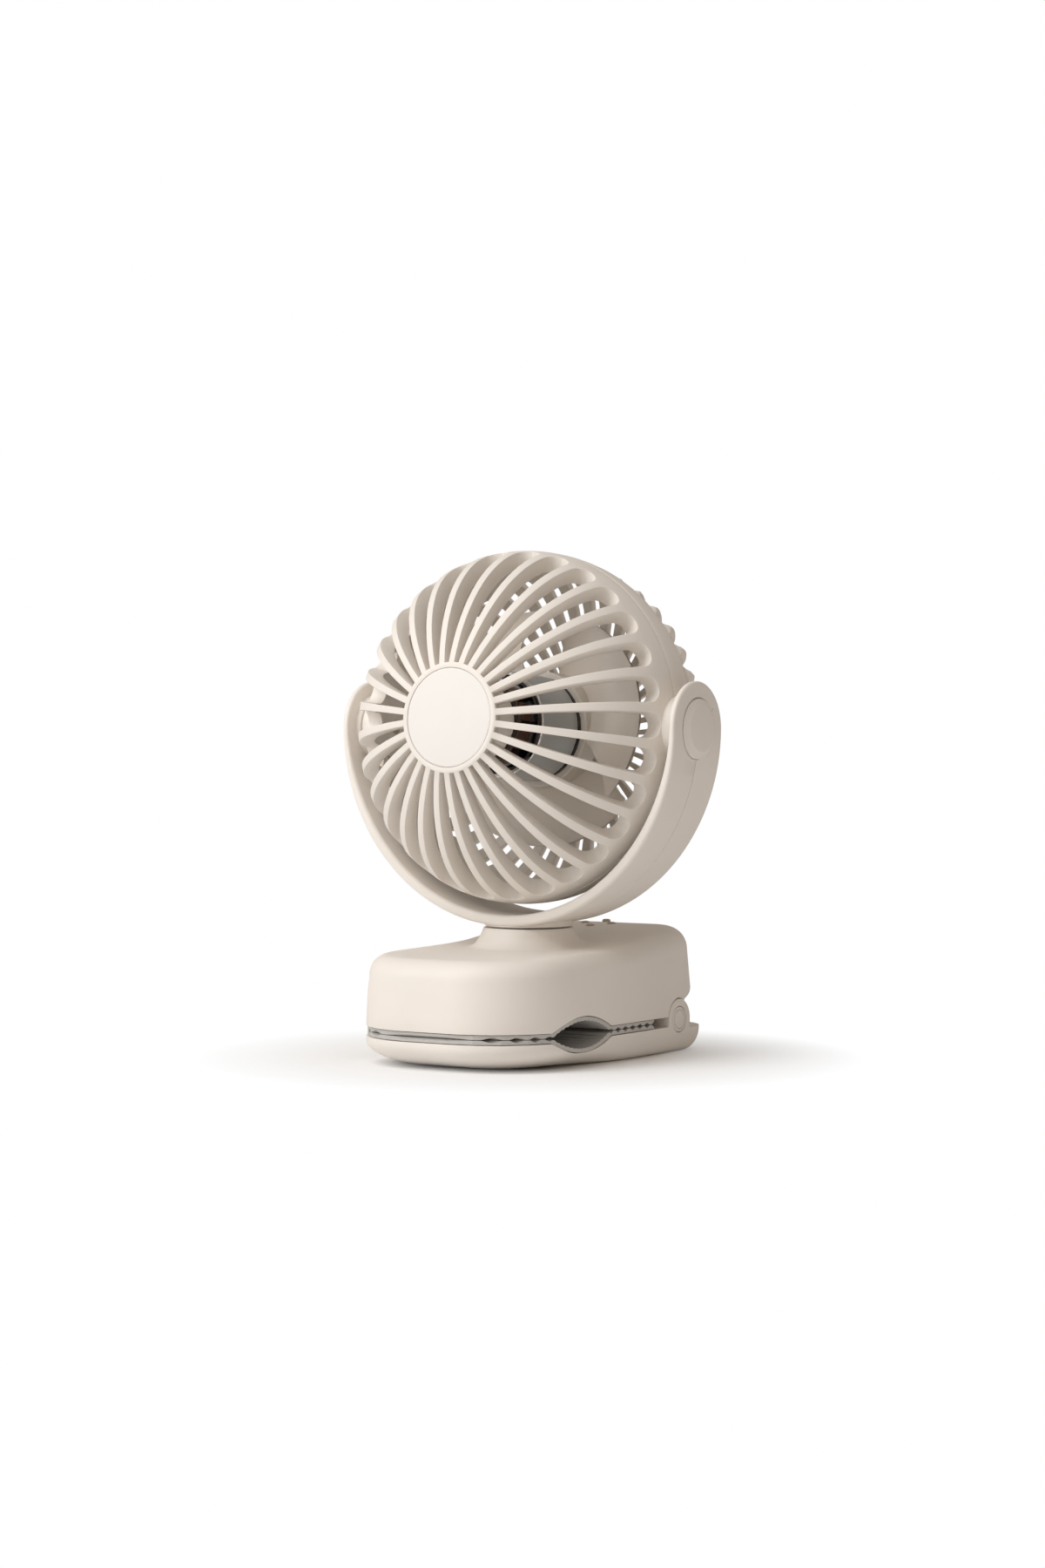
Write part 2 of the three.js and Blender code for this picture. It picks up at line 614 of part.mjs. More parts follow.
function lowerPlate() {
  const top = jawUpperEdge(SEAT_GAP / 2).slice(0, -1);
  const bottom = jawUpperEdge(SEAT_GAP / 2 + PLATE).slice(0, -1);
  top.push([STEP_BACK - SEAT_GAP, JAW_TOP - SEAT_GAP / 2]);
  bottom.push([STEP_BACK - SEAT_GAP, JAW_TOP - SEAT_GAP / 2 - PLATE]);
  const band = solid(across(shapeOf([...top, ...bottom.reverse()]), BASE_HALF_WIDTH));
  const floor = JAW_TOP - NOTCH_DROP - PLATE - SEAT_GAP;
  const shrink = JAW_ROUND * (1 - Math.sqrt(1 - (1 - floor / JAW_ROUND) ** 2));
  return band.intersect(planPrism(JAW_WALL + SEAT_GAP + shrink, JAW_REAR, 0, JAW_TOP + 1));
}

function pinCap(side) {
  const outer = BASE_HALF_WIDTH;
  const inner = outer - PIN_CAP_THICK;
  const groove = PIN_CAP_RADIUS - PIN_GROOVE;
  const slant = PIN_GROOVE_DEPTH / 2;
  const profile = [
    [0, inner], [PIN_CAP_RADIUS, inner], [PIN_CAP_RADIUS, outer],
    [groove + slant, outer], [groove, outer - PIN_GROOVE_DEPTH],
    [groove - PIN_GROOVE_DEPTH, outer - PIN_GROOVE_DEPTH],
    [groove - PIN_GROOVE_DEPTH - slant, outer], [0, outer],
  ].map(([r, x]) => [r, side * x]);
  return aboutX(turned(profile, SMALL_ROUND)).translate(0, HINGE_Y, HINGE_Z);
}

class CoilCurve extends THREE.Curve {
  getPoint(t, target = new THREE.Vector3()) {
    const angle = 2 * Math.PI * SPRING_TURNS * t;
    return target.set(
      SPRING_LENGTH * (t - 0.5),
      HINGE_Y + SPRING_RADIUS * Math.cos(angle),
      HINGE_Z + SPRING_RADIUS * Math.sin(angle),
    );
  }
}

function roundSection(radius, sides) {
  const points = [];
  for (let i = 0; i < sides; i += 1) {
    const t = (2 * Math.PI * i) / sides;
    points.push([radius * Math.cos(t), radius * Math.sin(t)]);
  }
  return shapeOf(points);
}

function jawSpring() {
  return new THREE.ExtrudeGeometry(roundSection(SPRING_WIRE, 5), {
    steps: 7 * SPRING_TURNS, extrudePath: new CoilCurve(), bevelEnabled: false,
  });
}

// A key's dome, stem and the flange that keeps it in the shell.
function keyBody(key) {
  const top = topHeight(key.y) + KEY_RISE;
  const under = Math.min(roofOver(key.y - KEY_FLANGE), roofOver(key.y + KEY_FLANGE)) - SEAT_GAP;
  const foot = BOARD_TOP + SWITCH_HEIGHT + KEY_TRAVEL + SEAT_GAP;
  const flangeLow = Math.max(under - KEY_FLANGE_THICK, foot + SEAT_GAP / 2);
  return aboutZ(turned([
    [0, foot], [KEY_RADIUS, foot], [KEY_RADIUS, flangeLow],
    [KEY_FLANGE, flangeLow], [KEY_FLANGE, under], [KEY_RADIUS, under],
    [KEY_RADIUS, top - 0.5], [KEY_RADIUS * 0.8, top - 0.12], [0, top],
  ], TINY_ROUND)).translate(key.x, key.y, 0);
}

function controlBoard() {
  let body = solid(block(-BOARD_HALF_WIDTH, BOARD_HALF_WIDTH, BOARD_FRONT, BOARD_BACK,
    BOARD_TOP - BOARD_THICK, BOARD_TOP));
  for (const key of KEYS) {
    const reach = SWITCH_HALF;
    const body2 = block(key.x - reach, key.x + reach, key.y - reach, key.y + reach,
      BOARD_TOP - BOARD_THICK / 2, BOARD_TOP + SWITCH_HEIGHT);
    body = body.add(solid(body2));
  }
  return body;
}

function usbSocket() {
  const back = BASE_REAR - REAR_LEAN * (SOCKET_TOP - SHELL_EDGE) - BASE_WALL / 2;
  const half = SOCKET_WIDTH / 2;
  const shell = block(-half, half, back - SOCKET_DEPTH, back, SOCKET_TOP - SOCKET_HEIGHT, SOCKET_TOP);
  const hole = block(-half + SOCKET_WALL, half - SOCKET_WALL, back - SOCKET_DEPTH + 1, back + 1,
    SOCKET_TOP - SOCKET_HEIGHT + SOCKET_WALL, SOCKET_TOP - SOCKET_WALL);
  const middle = SOCKET_TOP - SOCKET_HEIGHT / 2;
  const tongue = block(-half + 1.1, half - 1.1, back - SOCKET_DEPTH + 0.5, back - 1,
    middle - 0.35, middle + 0.35);
  return solid(shell).subtract(solid(hole)).add(solid(tongue));
}

const CELL_Z = SHELL_EDGE + NOTCH_RISE + SEAT_GAP / 2 + PLATE + SEAT_GAP + TRAY_THICK + SEAT_GAP
  + CELL_RADIUS;

function cell(y) {
  const half = CELL_LENGTH / 2;
  return aboutX(turned([
    [0, -half], [CELL_RADIUS - 0.6, -half], [CELL_RADIUS, -half + 0.6],
    [CELL_RADIUS, half - 1.2], [CELL_RADIUS - 0.8, half - 0.6], [3, half - 0.6],
    [3, half], [0, half],
  ], SMALL_ROUND)).translate(0, y, CELL_Z);
}

function cellTray() {
  const bed = CELL_Z - CELL_RADIUS - SEAT_GAP - TRAY_THICK;
  const grip = CELL_Z - CELL_RADIUS + TRAY_RIM;
  const y0 = CELL_FRONT_Y - CELL_RADIUS - SEAT_GAP - TRAY_THICK;
  const y1 = CELL_FRONT_Y + CELL_SPACING + CELL_RADIUS + SEAT_GAP + TRAY_THICK;
  const ledge = SHELL_EDGE + SEAT_GAP / 2 + PLATE + SEAT_GAP;
  const half = CELL_LENGTH / 2;
  let body = solid(block(-half, half, y0, y1, bed, grip));
  const frontLeg = NOTCH_FRONT - PLATE;
  const backLeg = NOTCH_BACK + PLATE;
  const shelf = bed + TRAY_THICK;
  body = joined(
    body,
    solid(block(-half, half, frontLeg - TRAY_LEG, frontLeg, ledge, shelf)),
    solid(block(-half, half, backLeg, backLeg + TRAY_LEG, ledge, shelf)),
    solid(block(-half, half, y1 - TRAY_THICK, backLeg + TRAY_LEG, bed, shelf)),
  );
  for (const y of [CELL_FRONT_Y, CELL_FRONT_Y + CELL_SPACING]) {
    const bay = aboutX(rod(CELL_RADIUS + SEAT_GAP, -half - PAST, half + PAST, SMALL_ROUND));
    body = body.subtract(solid(bay.translate(0, y, CELL_Z)));
  }
  return body;
}

// ================= swivel =================

const WASHER_TOP = NECK_TOP - NECK_ROOF - SEAT_GAP;
const NUT_TOP = WASHER_TOP - SWIVEL_WASHER - SEAT_GAP;
const YOKE_FOOT = NECK_TOP + RUN_GAP;
const FLANGE_Z = YOKE_FOOT + YOKE_LIP + (YOKE_WALL - SHAFT_FLANGE_THICK) / 2;

function swivelShaft() {
  const low = NUT_TOP - NUT_THICK - 1;
  const high = FLANGE_Z + SHAFT_FLANGE_THICK;
  return solid(aboutZ(turned([
    [SHAFT_BORE, low], [SHAFT_RADIUS, low], [SHAFT_RADIUS, FLANGE_Z], [SHAFT_FLANGE, FLANGE_Z],
    [SHAFT_FLANGE, high], [SHAFT_BORE, high], [SHAFT_BORE, low],
  ], SMALL_ROUND).scale(1, -1, 1)).scale(1, 1, -1)).subtract(leadPath(LEAD_RADIUS + SEAT_GAP));
}

function swivelNut() {
  const nut = new THREE.CylinderGeometry(NUT_RADIUS, NUT_RADIUS, NUT_THICK, 6);
  const hole = rod(SHAFT_RADIUS + SEAT_GAP, -NUT_THICK, NUT_THICK, SMALL_ROUND);
  const body = solid(nut).subtract(solid(hole));
  return skinOf(body).rotateX(Math.PI / 2).translate(0, 0, NUT_TOP - NUT_THICK / 2);
}

// Route of the motor lead: up the shaft, then round the right arm to its pivot.
function leadPath(radius) {
  const mid = YOKE_INNER + YOKE_WALL / 2;
  const points = [
    new THREE.Vector3(0, 0, NUT_TOP - NUT_THICK),
    new THREE.Vector3(0, 0, PIVOT_Z - mid - 4),
  ];
  for (let angle = -86; angle <= -8; angle += 6) {
    const t = rad(angle);
    points.push(new THREE.Vector3(mid * Math.cos(t), 0, PIVOT_Z + mid * Math.sin(t)));
  }
  const curve = new THREE.CatmullRomCurve3(points);
  const tube = new THREE.ExtrudeGeometry(roundSection(radius, 5), {
    steps: 20, extrudePath: curve, bevelEnabled: false,
  });
  return solid(tube);
}

// ================= yoke =================

// The whole U band, before it is split into a front and a rear half.
function yokeBand() {
  const arm = YOKE_HALF_DEPTH;
  const edge = YOKE_EDGE;
  const outline = new THREE.Shape();
  const inner = YOKE_INNER + edge;
  const outer = YOKE_RADIUS - edge;
  outline.moveTo(-outer, arm + edge);
  outline.lineTo(-outer, 0);
  outline.absarc(0, 0, outer, Math.PI, 2 * Math.PI, false);
  outline.lineTo(outer, arm + edge);
  outline.lineTo(inner, arm + edge);
  outline.lineTo(inner, 0);
  outline.absarc(0, 0, inner, 2 * Math.PI, Math.PI, true);
  outline.lineTo(-inner, arm + edge);
  outline.closePath();
  const band = new THREE.ExtrudeGeometry(outline, {
    depth: 2 * (YOKE_HALF_DEPTH - edge),
    bevelEnabled: true,
    bevelThickness: edge,
    bevelSize: edge,
    bevelSegments: 2,
    curveSegments: 26,
  });
  band.rotateX(Math.PI / 2).translate(0, YOKE_HALF_DEPTH - edge, PIVOT_Z);
  const side = new THREE.Shape();
  side.moveTo(-arm - 1, -YOKE_RADIUS - PAST);
  side.lineTo(-arm - 1, 0);
  side.lineTo(-arm, 0);
  side.absarc(0, 0, arm, Math.PI, 0, true);
  side.lineTo(arm + 1, 0);
  side.lineTo(arm + 1, -YOKE_RADIUS - PAST);
  side.closePath();
  const round = across(side, YOKE_RADIUS + PAST, 8).translate(0, 0, PIVOT_Z);
  const foot = aboutZ(rod(BOSS_FOOT_RADIUS, YOKE_FOOT, YOKE_FOOT + YOKE_LIP + YOKE_WALL / 2));
  return solid(band).intersect(solid(round)).add(solid(foot));
}

function yokeHalf(band, dir) {
  const big = YOKE_RADIUS + PAST;
  const from = dir < 0 ? -big : SEAT_GAP / 2;
  const to = dir < 0 ? -SEAT_GAP / 2 : big;
  const tools = [];
  const pocketLow = FLANGE_Z - SEAT_GAP;
  const pocketHigh = FLANGE_Z + SHAFT_FLANGE_THICK + SEAT_GAP;
  tools.push(aboutZ(rod(SHAFT_FLANGE + SEAT_GAP, pocketLow, pocketHigh, SMALL_ROUND)));
  tools.push(aboutZ(rod(SHAFT_RADIUS + SEAT_GAP, 0, FLANGE_Z, SMALL_ROUND)));
  for (const side of [-1, 1]) {
    const ring = (r, a, b) => {
      const ends = [side * a, side * b];
      return aboutX(rod(r, Math.min(...ends), Math.max(...ends), SMALL_ROUND)).translate(0, 0, PIVOT_Z);
    };
    tools.push(ring(STUB_RADIUS + SEAT_GAP, YOKE_INNER - PAST, YOKE_RADIUS + PAST));
    tools.push(ring(WASHER_RADIUS + SEAT_GAP, YOKE_INNER + ARM_WEB, YOKE_RADIUS + PAST));
    tools.push(ring(CAP_RADIUS + SEAT_GAP, YOKE_RADIUS - CAP_SINK, YOKE_RADIUS + PAST));
  }
  const half = band.intersect(solid(block(-big, big, from, to, 0, PIVOT_Z + big)));
  return cutBy(half, ...tools.map(solid), leadPath(LEAD_RADIUS + SEAT_GAP));
}

function pivotCap(side) {
  const x0 = YOKE_RADIUS - CAP_SINK + SEAT_GAP;
  const x1 = x0 + CAP_THICK;
  const profile = [
    [0, x0], [CAP_RADIUS - CAP_EDGE, x0], [CAP_RADIUS, x0 + CAP_EDGE], [CAP_RADIUS, x1 - CAP_EDGE],
    [CAP_RADIUS - CAP_EDGE, x1], [CAP_FACE_RADIUS, x1 + CAP_RAISE], [0, x1 + CAP_RAISE],
  ].map(([r, x]) => [r, side * x]);
  return aboutX(turned(profile, SMALL_ROUND)).translate(0, 0, PIVOT_Z);
}

function pivotWasher(side) {
  const x0 = YOKE_INNER + ARM_WEB + SEAT_GAP;
  const ends = [side * x0, side * (x0 + WASHER_THICK)];
  const disc = rod(WASHER_RADIUS, Math.min(...ends), Math.max(...ends), SMALL_ROUND, STUB_RADIUS + SEAT_GAP);
  return aboutX(disc).translate(0, 0, PIVOT_Z);
}

// ================= fan head =================
// Head pieces are drawn with the fan's axis on Y and the tilt pivot at the origin.

const pointOn = (radius, depth, power, start, dir, degrees) => {
  const t = rad(degrees);
  return [
    radius * Math.sin(t) ** (2 / power),
    start + dir * depth * Math.cos(t) ** (2 / power),
  ];
};
const frontOuter = (degrees) => pointOn(DOME_RADIUS, DOME_DEPTH, 2, SEAM_Y, -1, degrees);
const frontInner = (degrees) => pointOn(
  DOME_RADIUS - GRILLE_DEPTH, DOME_DEPTH - GRILLE_DEPTH, 2, SEAM_Y, -1, degrees,
);
const rearOuter = (degrees) => pointOn(REAR_RADIUS, REAR_DEPTH, REAR_SQUARE, REAR_START, 1, degrees);
const rearInner = (degrees) => pointOn(
  REAR_RADIUS - REAR_RIB_DEPTH, REAR_DEPTH - REAR_RIB_DEPTH, REAR_SQUARE, REAR_START, 1, degrees,
);

// Degrees from the pole at which a dome reaches a radius.
const reachOf = (radius, dome, power) => THREE.MathUtils.radToDeg(
  Math.asin(Math.min(1, radius / dome) ** (power / 2)),
);

const HUB_FACE = frontOuter(reachOf(HUB_RADIUS, DOME_RADIUS, 2))[1] - HUB_RAISE;
const HUB_BACK = HUB_FACE + HUB_PLATE + DISC_THICK;

// A domed cage in one skin. Each row is a circle of the closed profile, from the
// middle of the face out to the rim and back to the middle: {r, y} and the rib's
// half angle there. Rows marked slot bound the openings between the ribs; rows
// marked mid also carry a point on the rib's centre line.
function cage(rows, count, turn) {
  const points = [];
  const faces = [];
  const column = (k, rib, c) => (k * count + ((rib + count) % count)) * 3 + c;
  rows.forEach((row) => {
    for (let rib = 0; rib < count; rib += 1) {
      const middle = turn + (2 * Math.PI * rib) / count;
      for (const side of [-1, row.mid ? 0 : -1, 1]) {
        const t = middle + side * row.half;
        points.push(new THREE.Vector3(row.r * Math.cos(t), row.y, row.r * Math.sin(t)));
      }
    }
  });
  const quad = (a, b, c, d) => faces.push(a, b, c, a, c, d);
  for (let k = 0; k + 1 < rows.length; k += 1) {
    const open = rows[k].slot && rows[k + 1].slot;
    for (let rib = 0; rib < count; rib += 1) {
      for (const c of [0, 1]) {
        quad(column(k, rib, c), column(k, rib, c + 1), column(k + 1, rib, c + 1), column(k + 1, rib, c));
      }
      if (!open) {
        quad(column(k, rib, 2), column(k, rib + 1, 0), column(k + 1, rib + 1, 0), column(k + 1, rib, 2));
      }
    }
  }
  const slots = rows.map((row, k) => (row.slot ? k : -1)).filter((k) => k >= 0);
  const [first, final] = [slots[0], slots[slots.length - 1]];
  for (let n = 0; n < slots.length / 2; n += 1) {
    const [k, m] = [slots[n], slots[slots.length - 1 - n]];
    for (let rib = 0; rib < count && k + 1 < m && rows[k + 1].slot; rib += 1) {
      quad(column(k, rib, 2), column(m, rib, 2), column(m - 1, rib, 2), column(k + 1, rib, 2));
      quad(column(k, rib, 0), column(k + 1, rib, 0), column(m - 1, rib, 0), column(m, rib, 0));
    }
  }
  for (let rib = 0; rib < count; rib += 1) {
    quad(column(first, rib, 2), column(first, rib + 1, 0), column(final, rib + 1, 0), column(final, rib, 2));
  }
  const geometry = new THREE.BufferGeometry().setFromPoints(points);
  geometry.setIndex(faces);
  return solid(geometry);
}

const whole = (pairs, half, mid = false) => pairs.map(([r, y]) => ({ r, y, half, mid }));

function frontGrille() {
  const hubAngle = reachOf(HUB_RADIUS, DOME_RADIUS, 2);
  const [hubR, hubY] = frontOuter(hubAngle);
  const face = hubY - HUB_RAISE;
  const floor = face + DISC_THICK + SEAT_GAP;

  // a slot narrows to a round end over its last few degrees
  const widest = DOME_RADIUS * HALF_PITCH - RIB_RIM_WIDTH / 2;
  const roundStart = SLOT_END - widest / (rad(1) * DOME_DEPTH);
  const halfAngle = (degrees, r, share) => {
    const along = Math.min(1, (degrees - hubAngle) / (roundStart - hubAngle));
    const plain = Math.asin((share * lerp(RIB_HUB_WIDTH, RIB_RIM_WIDTH, along)) / 2 / r);
    const past = Math.max(0, (degrees - roundStart) / (SLOT_END - roundStart));
    return lerp(HALF_PITCH, plain, Math.sqrt(Math.max(0, 1 - past * past)));
  };
  const stations = [0, 0.2, 0.4, 0.6, 0.8, 1].map((k) => lerp(hubAngle, roundStart, k))
    .concat([0.55, 0.87, 1].map((k) => lerp(roundStart, SLOT_END, k)));
  const row = (curve, share, mid) => (degrees) => {
    const [r, y] = curve(degrees);
    return { r, y, half: halfAngle(degrees, r, share), slot: true, mid: mid && degrees > roundStart };
  };
  const outer = stations.map(row(frontOuter, 1, true));
  const inner = stations.map(row(frontInner, RIB_BACK_SHARE, true)).reverse();
  const hubHalf = outer[0].half;
  const innerHubHalf = inner[inner.length - 1].half;
  const [innerR, innerY] = frontInner(hubAngle);
  const thin = DOME_RADIUS - RIM_WALL;
  const [slotR, slotY] = frontInner(SLOT_END);
  const rim = [
    frontOuter(lerp(SLOT_END, 90, 0.5)), [DOME_RADIUS, SEAM_Y], [thin, SEAM_Y],
    [thin, SEAM_Y - LAP_DEPTH], [slotR, slotY + LAP_DEPTH],
  ];
  const body = cage([
    ...whole([
      [0, floor], [DISC_RADIUS + SEAT_GAP, floor], [DISC_RADIUS + SEAT_GAP, face + HUB_RAISE],
      [DISC_RADIUS + 2 * SEAT_GAP, face], [hubR - 2 * SEAT_GAP, face],
    ], hubHalf),
    ...outer,
    ...whole(rim, HALF_PITCH, true),
    ...inner,
    ...whole([[innerR - SEAT_GAP, HUB_BACK], [0, HUB_BACK]], innerHubHalf),
  ], RIB_COUNT, HALF_PITCH);
  return cutBy(body, ...bossHoles());
}

function hubDisc() {
  const face = HUB_FACE + SEAT_GAP / 2;
  const back = HUB_FACE + DISC_THICK;
  return turned([
    [0, face], [DISC_RADIUS - SEAT_GAP, face], [DISC_RADIUS, face + SEAT_GAP],
    [DISC_RADIUS, back], [0, back],
  ], ROUND);
}

function bossHoles() {
  return [-1, 1].map((side) => {
    const ends = [side * (DOME_RADIUS - 12), side * (DOME_RADIUS + PAST)];
    return solid(aboutX(rod(BOSS_RADIUS + SEAT_GAP, Math.min(...ends), Math.max(...ends), SMALL_ROUND)));
  });
}

function rearShell() {
  const hubAngle = reachOf(REAR_HUB_RADIUS, REAR_RADIUS, REAR_SQUARE);
  const pitch = Math.PI / REAR_RIB_COUNT;
  const seam = SEAM_Y + SEAT_GAP;
  const thin = DOME_RADIUS - RIM_WALL;
  const innerR = REAR_RADIUS - REAR_RIB_DEPTH;
  const stations = [0, 0.25, 0.5, 0.68, 0.83, 0.94, 1].map((k) => lerp(hubAngle, REAR_SLOT_END, k));
  const slotHalf = (r) => {
    const along = THREE.MathUtils.clamp((r - REAR_HUB_RADIUS) / (innerR - REAR_HUB_RADIUS), 0, 1);
    return lerp(REAR_SLOT_HUB, REAR_SLOT_RIM, along) / 2;
  };
  const row = (curve, narrow) => (degrees, i) => {
    const [r, y] = curve(degrees);
    const half = i + 1 === stations.length ? pitch : pitch - (slotHalf(r) + narrow) / r;
    return { r, y, half, slot: true };
  };
  const outer = stations.map(row(rearOuter, REAR_RIB_TAPER));
  const inner = stations.map(row(rearInner, 0)).reverse();
  const last = inner[inner.length - 1];
  const band = [
    [REAR_RADIUS, BAND_END], [DOME_RADIUS - RIM_WALL / 3, BAND_MIDDLE], [DOME_RADIUS, seam],
    [thin, seam], [thin, BAND_MIDDLE], [innerR, BAND_END],
  ];
  const body = cage([
    ...whole([[0, REAR_START + REAR_DEPTH], [outer[0].r - RIM_WALL, outer[0].y + SEAT_GAP]], outer[0].half),
    ...outer,
    ...whole(band, pitch),
    ...inner,
    ...whole([[0, last.y]], last.half),
  ], REAR_RIB_COUNT, rad(REAR_RIB_TURN));
  return cutBy(body, ...bossHoles());
}

// Pivot boss of the head with the hollow stub that turns in the yoke arm.
function trunnion(side) {
  const inner = Math.sqrt((DOME_RADIUS - RIM_WALL) ** 2 - FLANGE_RADIUS ** 2) - SEAT_GAP;
  const face = Math.sqrt(YOKE_INNER ** 2 - BOSS_RADIUS ** 2) - SEAT_GAP;
  const tip = YOKE_INNER + ARM_WEB + SEAT_GAP + WASHER_THICK;
  const boss = turned([
    [STUB_BORE, inner - FLANGE_THICK], [BOSS_RADIUS, inner - FLANGE_THICK], [BOSS_RADIUS, face - BOSS_EDGE],
    [BOSS_RADIUS - BOSS_EDGE, face], [STUB_RADIUS, face], [STUB_RADIUS, tip], [STUB_BORE, tip],
    [STUB_BORE, inner - FLANGE_THICK],
  ].map(([r, x]) => [r, side * x]), SMALL_ROUND);
  const ends = [side * (inner - FLANGE_THICK), side * inner];
  const plate = rod(FLANGE_RADIUS, Math.min(...ends), Math.max(...ends), SMALL_ROUND, STUB_BORE);
  const behindSeam = block(-DOME_RADIUS, DOME_RADIUS, SEAM_Y + 1, BAND_MIDDLE, -DOME_RADIUS, DOME_RADIUS);
  const flange = solid(aboutX(plate)).intersect(solid(behindSeam));
  return solid(aboutX(boss)).add(flange);
}

// ================= motor =================

const MAGNET_OUTER = CAN_RADIUS - CAN_WALL - SEAT_GAP;
const MAGNET_INNER = MAGNET_OUTER - MAGNET_THICK;
const CORE_RADIUS = MAGNET_INNER - AIR_GAP;
const CORE_FRONT = CAN_FRONT - 1;
const COIL_FRONT = CORE_FRONT - SEAT_GAP - COIL_LENGTH;
const BOARD_BACK_Y = COIL_FRONT - SEAT_GAP;
const PEDESTAL_BACK = BOARD_BACK_Y - MOTOR_BOARD_THICK - SEAT_GAP;
const CORE_BACK = CORE_FRONT + CORE_LENGTH;
const TUBE_BORE = SHAFT_PIN_RADIUS + SEAT_GAP;

function pedestal() {
  return turned([
    [TUBE_RADIUS + SEAT_GAP, HUB_BACK + SEAT_GAP], [PEDESTAL_RADIUS + 2, HUB_BACK + SEAT_GAP],
    [PEDESTAL_RADIUS, HUB_BACK + 3], [PEDESTAL_RADIUS, PEDESTAL_BACK],
    [TUBE_RADIUS + SEAT_GAP, PEDESTAL_BACK], [TUBE_RADIUS + SEAT_GAP, HUB_BACK + SEAT_GAP],
  ], SMALL_ROUND);
}

// Extrudes a plan outline, drawn about the fan's axis, between two planes of Y.
function stacked(shape, y0, y1) {
  const geometry = new THREE.ExtrudeGeometry(shape, { depth: y1 - y0, bevelEnabled: false, curveSegments: 6 });
  return geometry.rotateX(-Math.PI / 2).scale(1, 1, 1).translate(0, y0, 0);
}

function stackedRing(outline, bore, y0, y1) {
  const shape = shapeOf(outline);
  const hole = new THREE.Path();
  hole.absarc(0, 0, bore, 0, 2 * Math.PI, true);
  shape.holes.push(hole);
  return stacked(shape, y0, y1);
}

function lobed(outer, root, lobes, share) {
  const points = [];
  for (let i = 0; i < lobes; i += 1) {
    const start = (2 * Math.PI * i) / lobes;
    const step = (2 * Math.PI) / lobes;
    for (const [t, r] of [[0, root], [1 - share, root], [1 - share * 0.9, outer],
      [1 - share * 0.5, outer], [1 - share * 0.1, outer]]) {
      points.push([r * Math.cos(start + t * step), r * Math.sin(start + t * step)]);
    }
  }
  return points;
}

const core = () => stackedRing(
  lobed(CORE_RADIUS, CORE_RADIUS - 3, CORE_TEETH, 0.85), TUBE_RADIUS + SEAT_GAP, CORE_FRONT, CORE_BACK,
);
const coils = (y0, y1) => stackedRing(
  lobed(CORE_RADIUS - 1, CORE_RADIUS - 8, CORE_TEETH, 0.8), TUBE_RADIUS + 3, y0, y1,
);

function motorCan() {
  const inner = CAN_RADIUS - CAN_WALL;
  const edge = 1.2;
  return turned([
    [inner, CAN_FRONT], [CAN_RADIUS - 0.3, CAN_FRONT], [CAN_RADIUS, CAN_FRONT + 0.3],
    [CAN_RADIUS, CAN_BACK - edge], [CAN_RADIUS - edge, CAN_BACK],
    [SHAFT_PIN_RADIUS + SEAT_GAP, CAN_BACK], [SHAFT_PIN_RADIUS + SEAT_GAP, CAN_BACK - CAN_WALL],
    [inner, CAN_BACK - CAN_WALL], [inner, CAN_FRONT],
  ]);
}

// ================= impeller =================

const FAN_HUB_FRONT = CAN_BACK + SEAT_GAP + RING_THICK + SEAT_GAP;
const FAN_HUB_BACK = FAN_HUB_FRONT + FAN_HUB_LENGTH;

// A wide blade: at each radius a thin curved strip that leans from front to rear.
function blade() {
  const radii = [FAN_HUB_RADIUS - 1, 31, 42, 53, BLADE_TIP_RADIUS];
  const steps = 6;
  const rings = radii.map((r) => {
    const out = (r - FAN_HUB_RADIUS) / (BLADE_TIP_RADIUS - FAN_HUB_RADIUS);
    const grow = Math.min(1, Math.max(0, out) * 3);
    const front = lerp(FAN_HUB_FRONT + 1, BLADE_FRONT, grow);
    const rear = lerp(FAN_HUB_BACK - 1, BLADE_REAR, grow);
    const tip = Math.max(0, out - 0.8) / 0.2;
    const span = rad(BLADE_SPAN) * (0.8 + 0.2 * grow) * (1 - 0.14 * tip * tip);
    const face = [];
    const back = [];
    for (let i = 0; i <= steps; i += 1) {
      const u = i / steps;
      const angle = (u - 0.5) * span - 0.25 * out;
      const y = lerp(front, rear, u + BLADE_CROWN * Math.sin(Math.PI * u));
      const thick = BLADE_THICK * (0.45 + 0.55 * Math.sin(Math.PI * u));
      const spot = (yy) => new THREE.Vector3(r * Math.cos(angle), yy, r * Math.sin(angle));
      face.push(spot(y - thick / 2));
      back.push(spot(y + thick / 2));
    }
    return [...face, ...back.reverse()];
  });
  return loft(rings);
}

function impeller() {
  const hub = turned([
    [SHAFT_PIN_RADIUS + SEAT_GAP, FAN_HUB_FRONT], [FAN_HUB_RADIUS, FAN_HUB_FRONT],
    [FAN_HUB_RADIUS, FAN_HUB_BACK - 2], [FAN_HUB_RADIUS - 2, FAN_HUB_BACK],
    [FAN_HUB_RADIUS - 2 - FAN_HUB_WALL, FAN_HUB_BACK - 1],
    [FAN_HUB_RADIUS - 2 - FAN_HUB_WALL, FAN_HUB_FRONT + FAN_HUB_WALL],
    [7, FAN_HUB_FRONT + FAN_HUB_WALL], [6, FAN_HUB_FRONT + 7],
    [SHAFT_PIN_RADIUS + SEAT_GAP, FAN_HUB_FRONT + 7],
    [SHAFT_PIN_RADIUS + SEAT_GAP, FAN_HUB_FRONT],
  ], ROUND);
  let body = solid(hub);
  for (let i = 0; i < BLADE_COUNT; i += 1) {
    const angle = (2 * Math.PI * i) / BLADE_COUNT + rad(12);
    body = body.add(solid(blade().rotateY(angle)));
  }
  return body;
}

// ================= materials and assembly =================

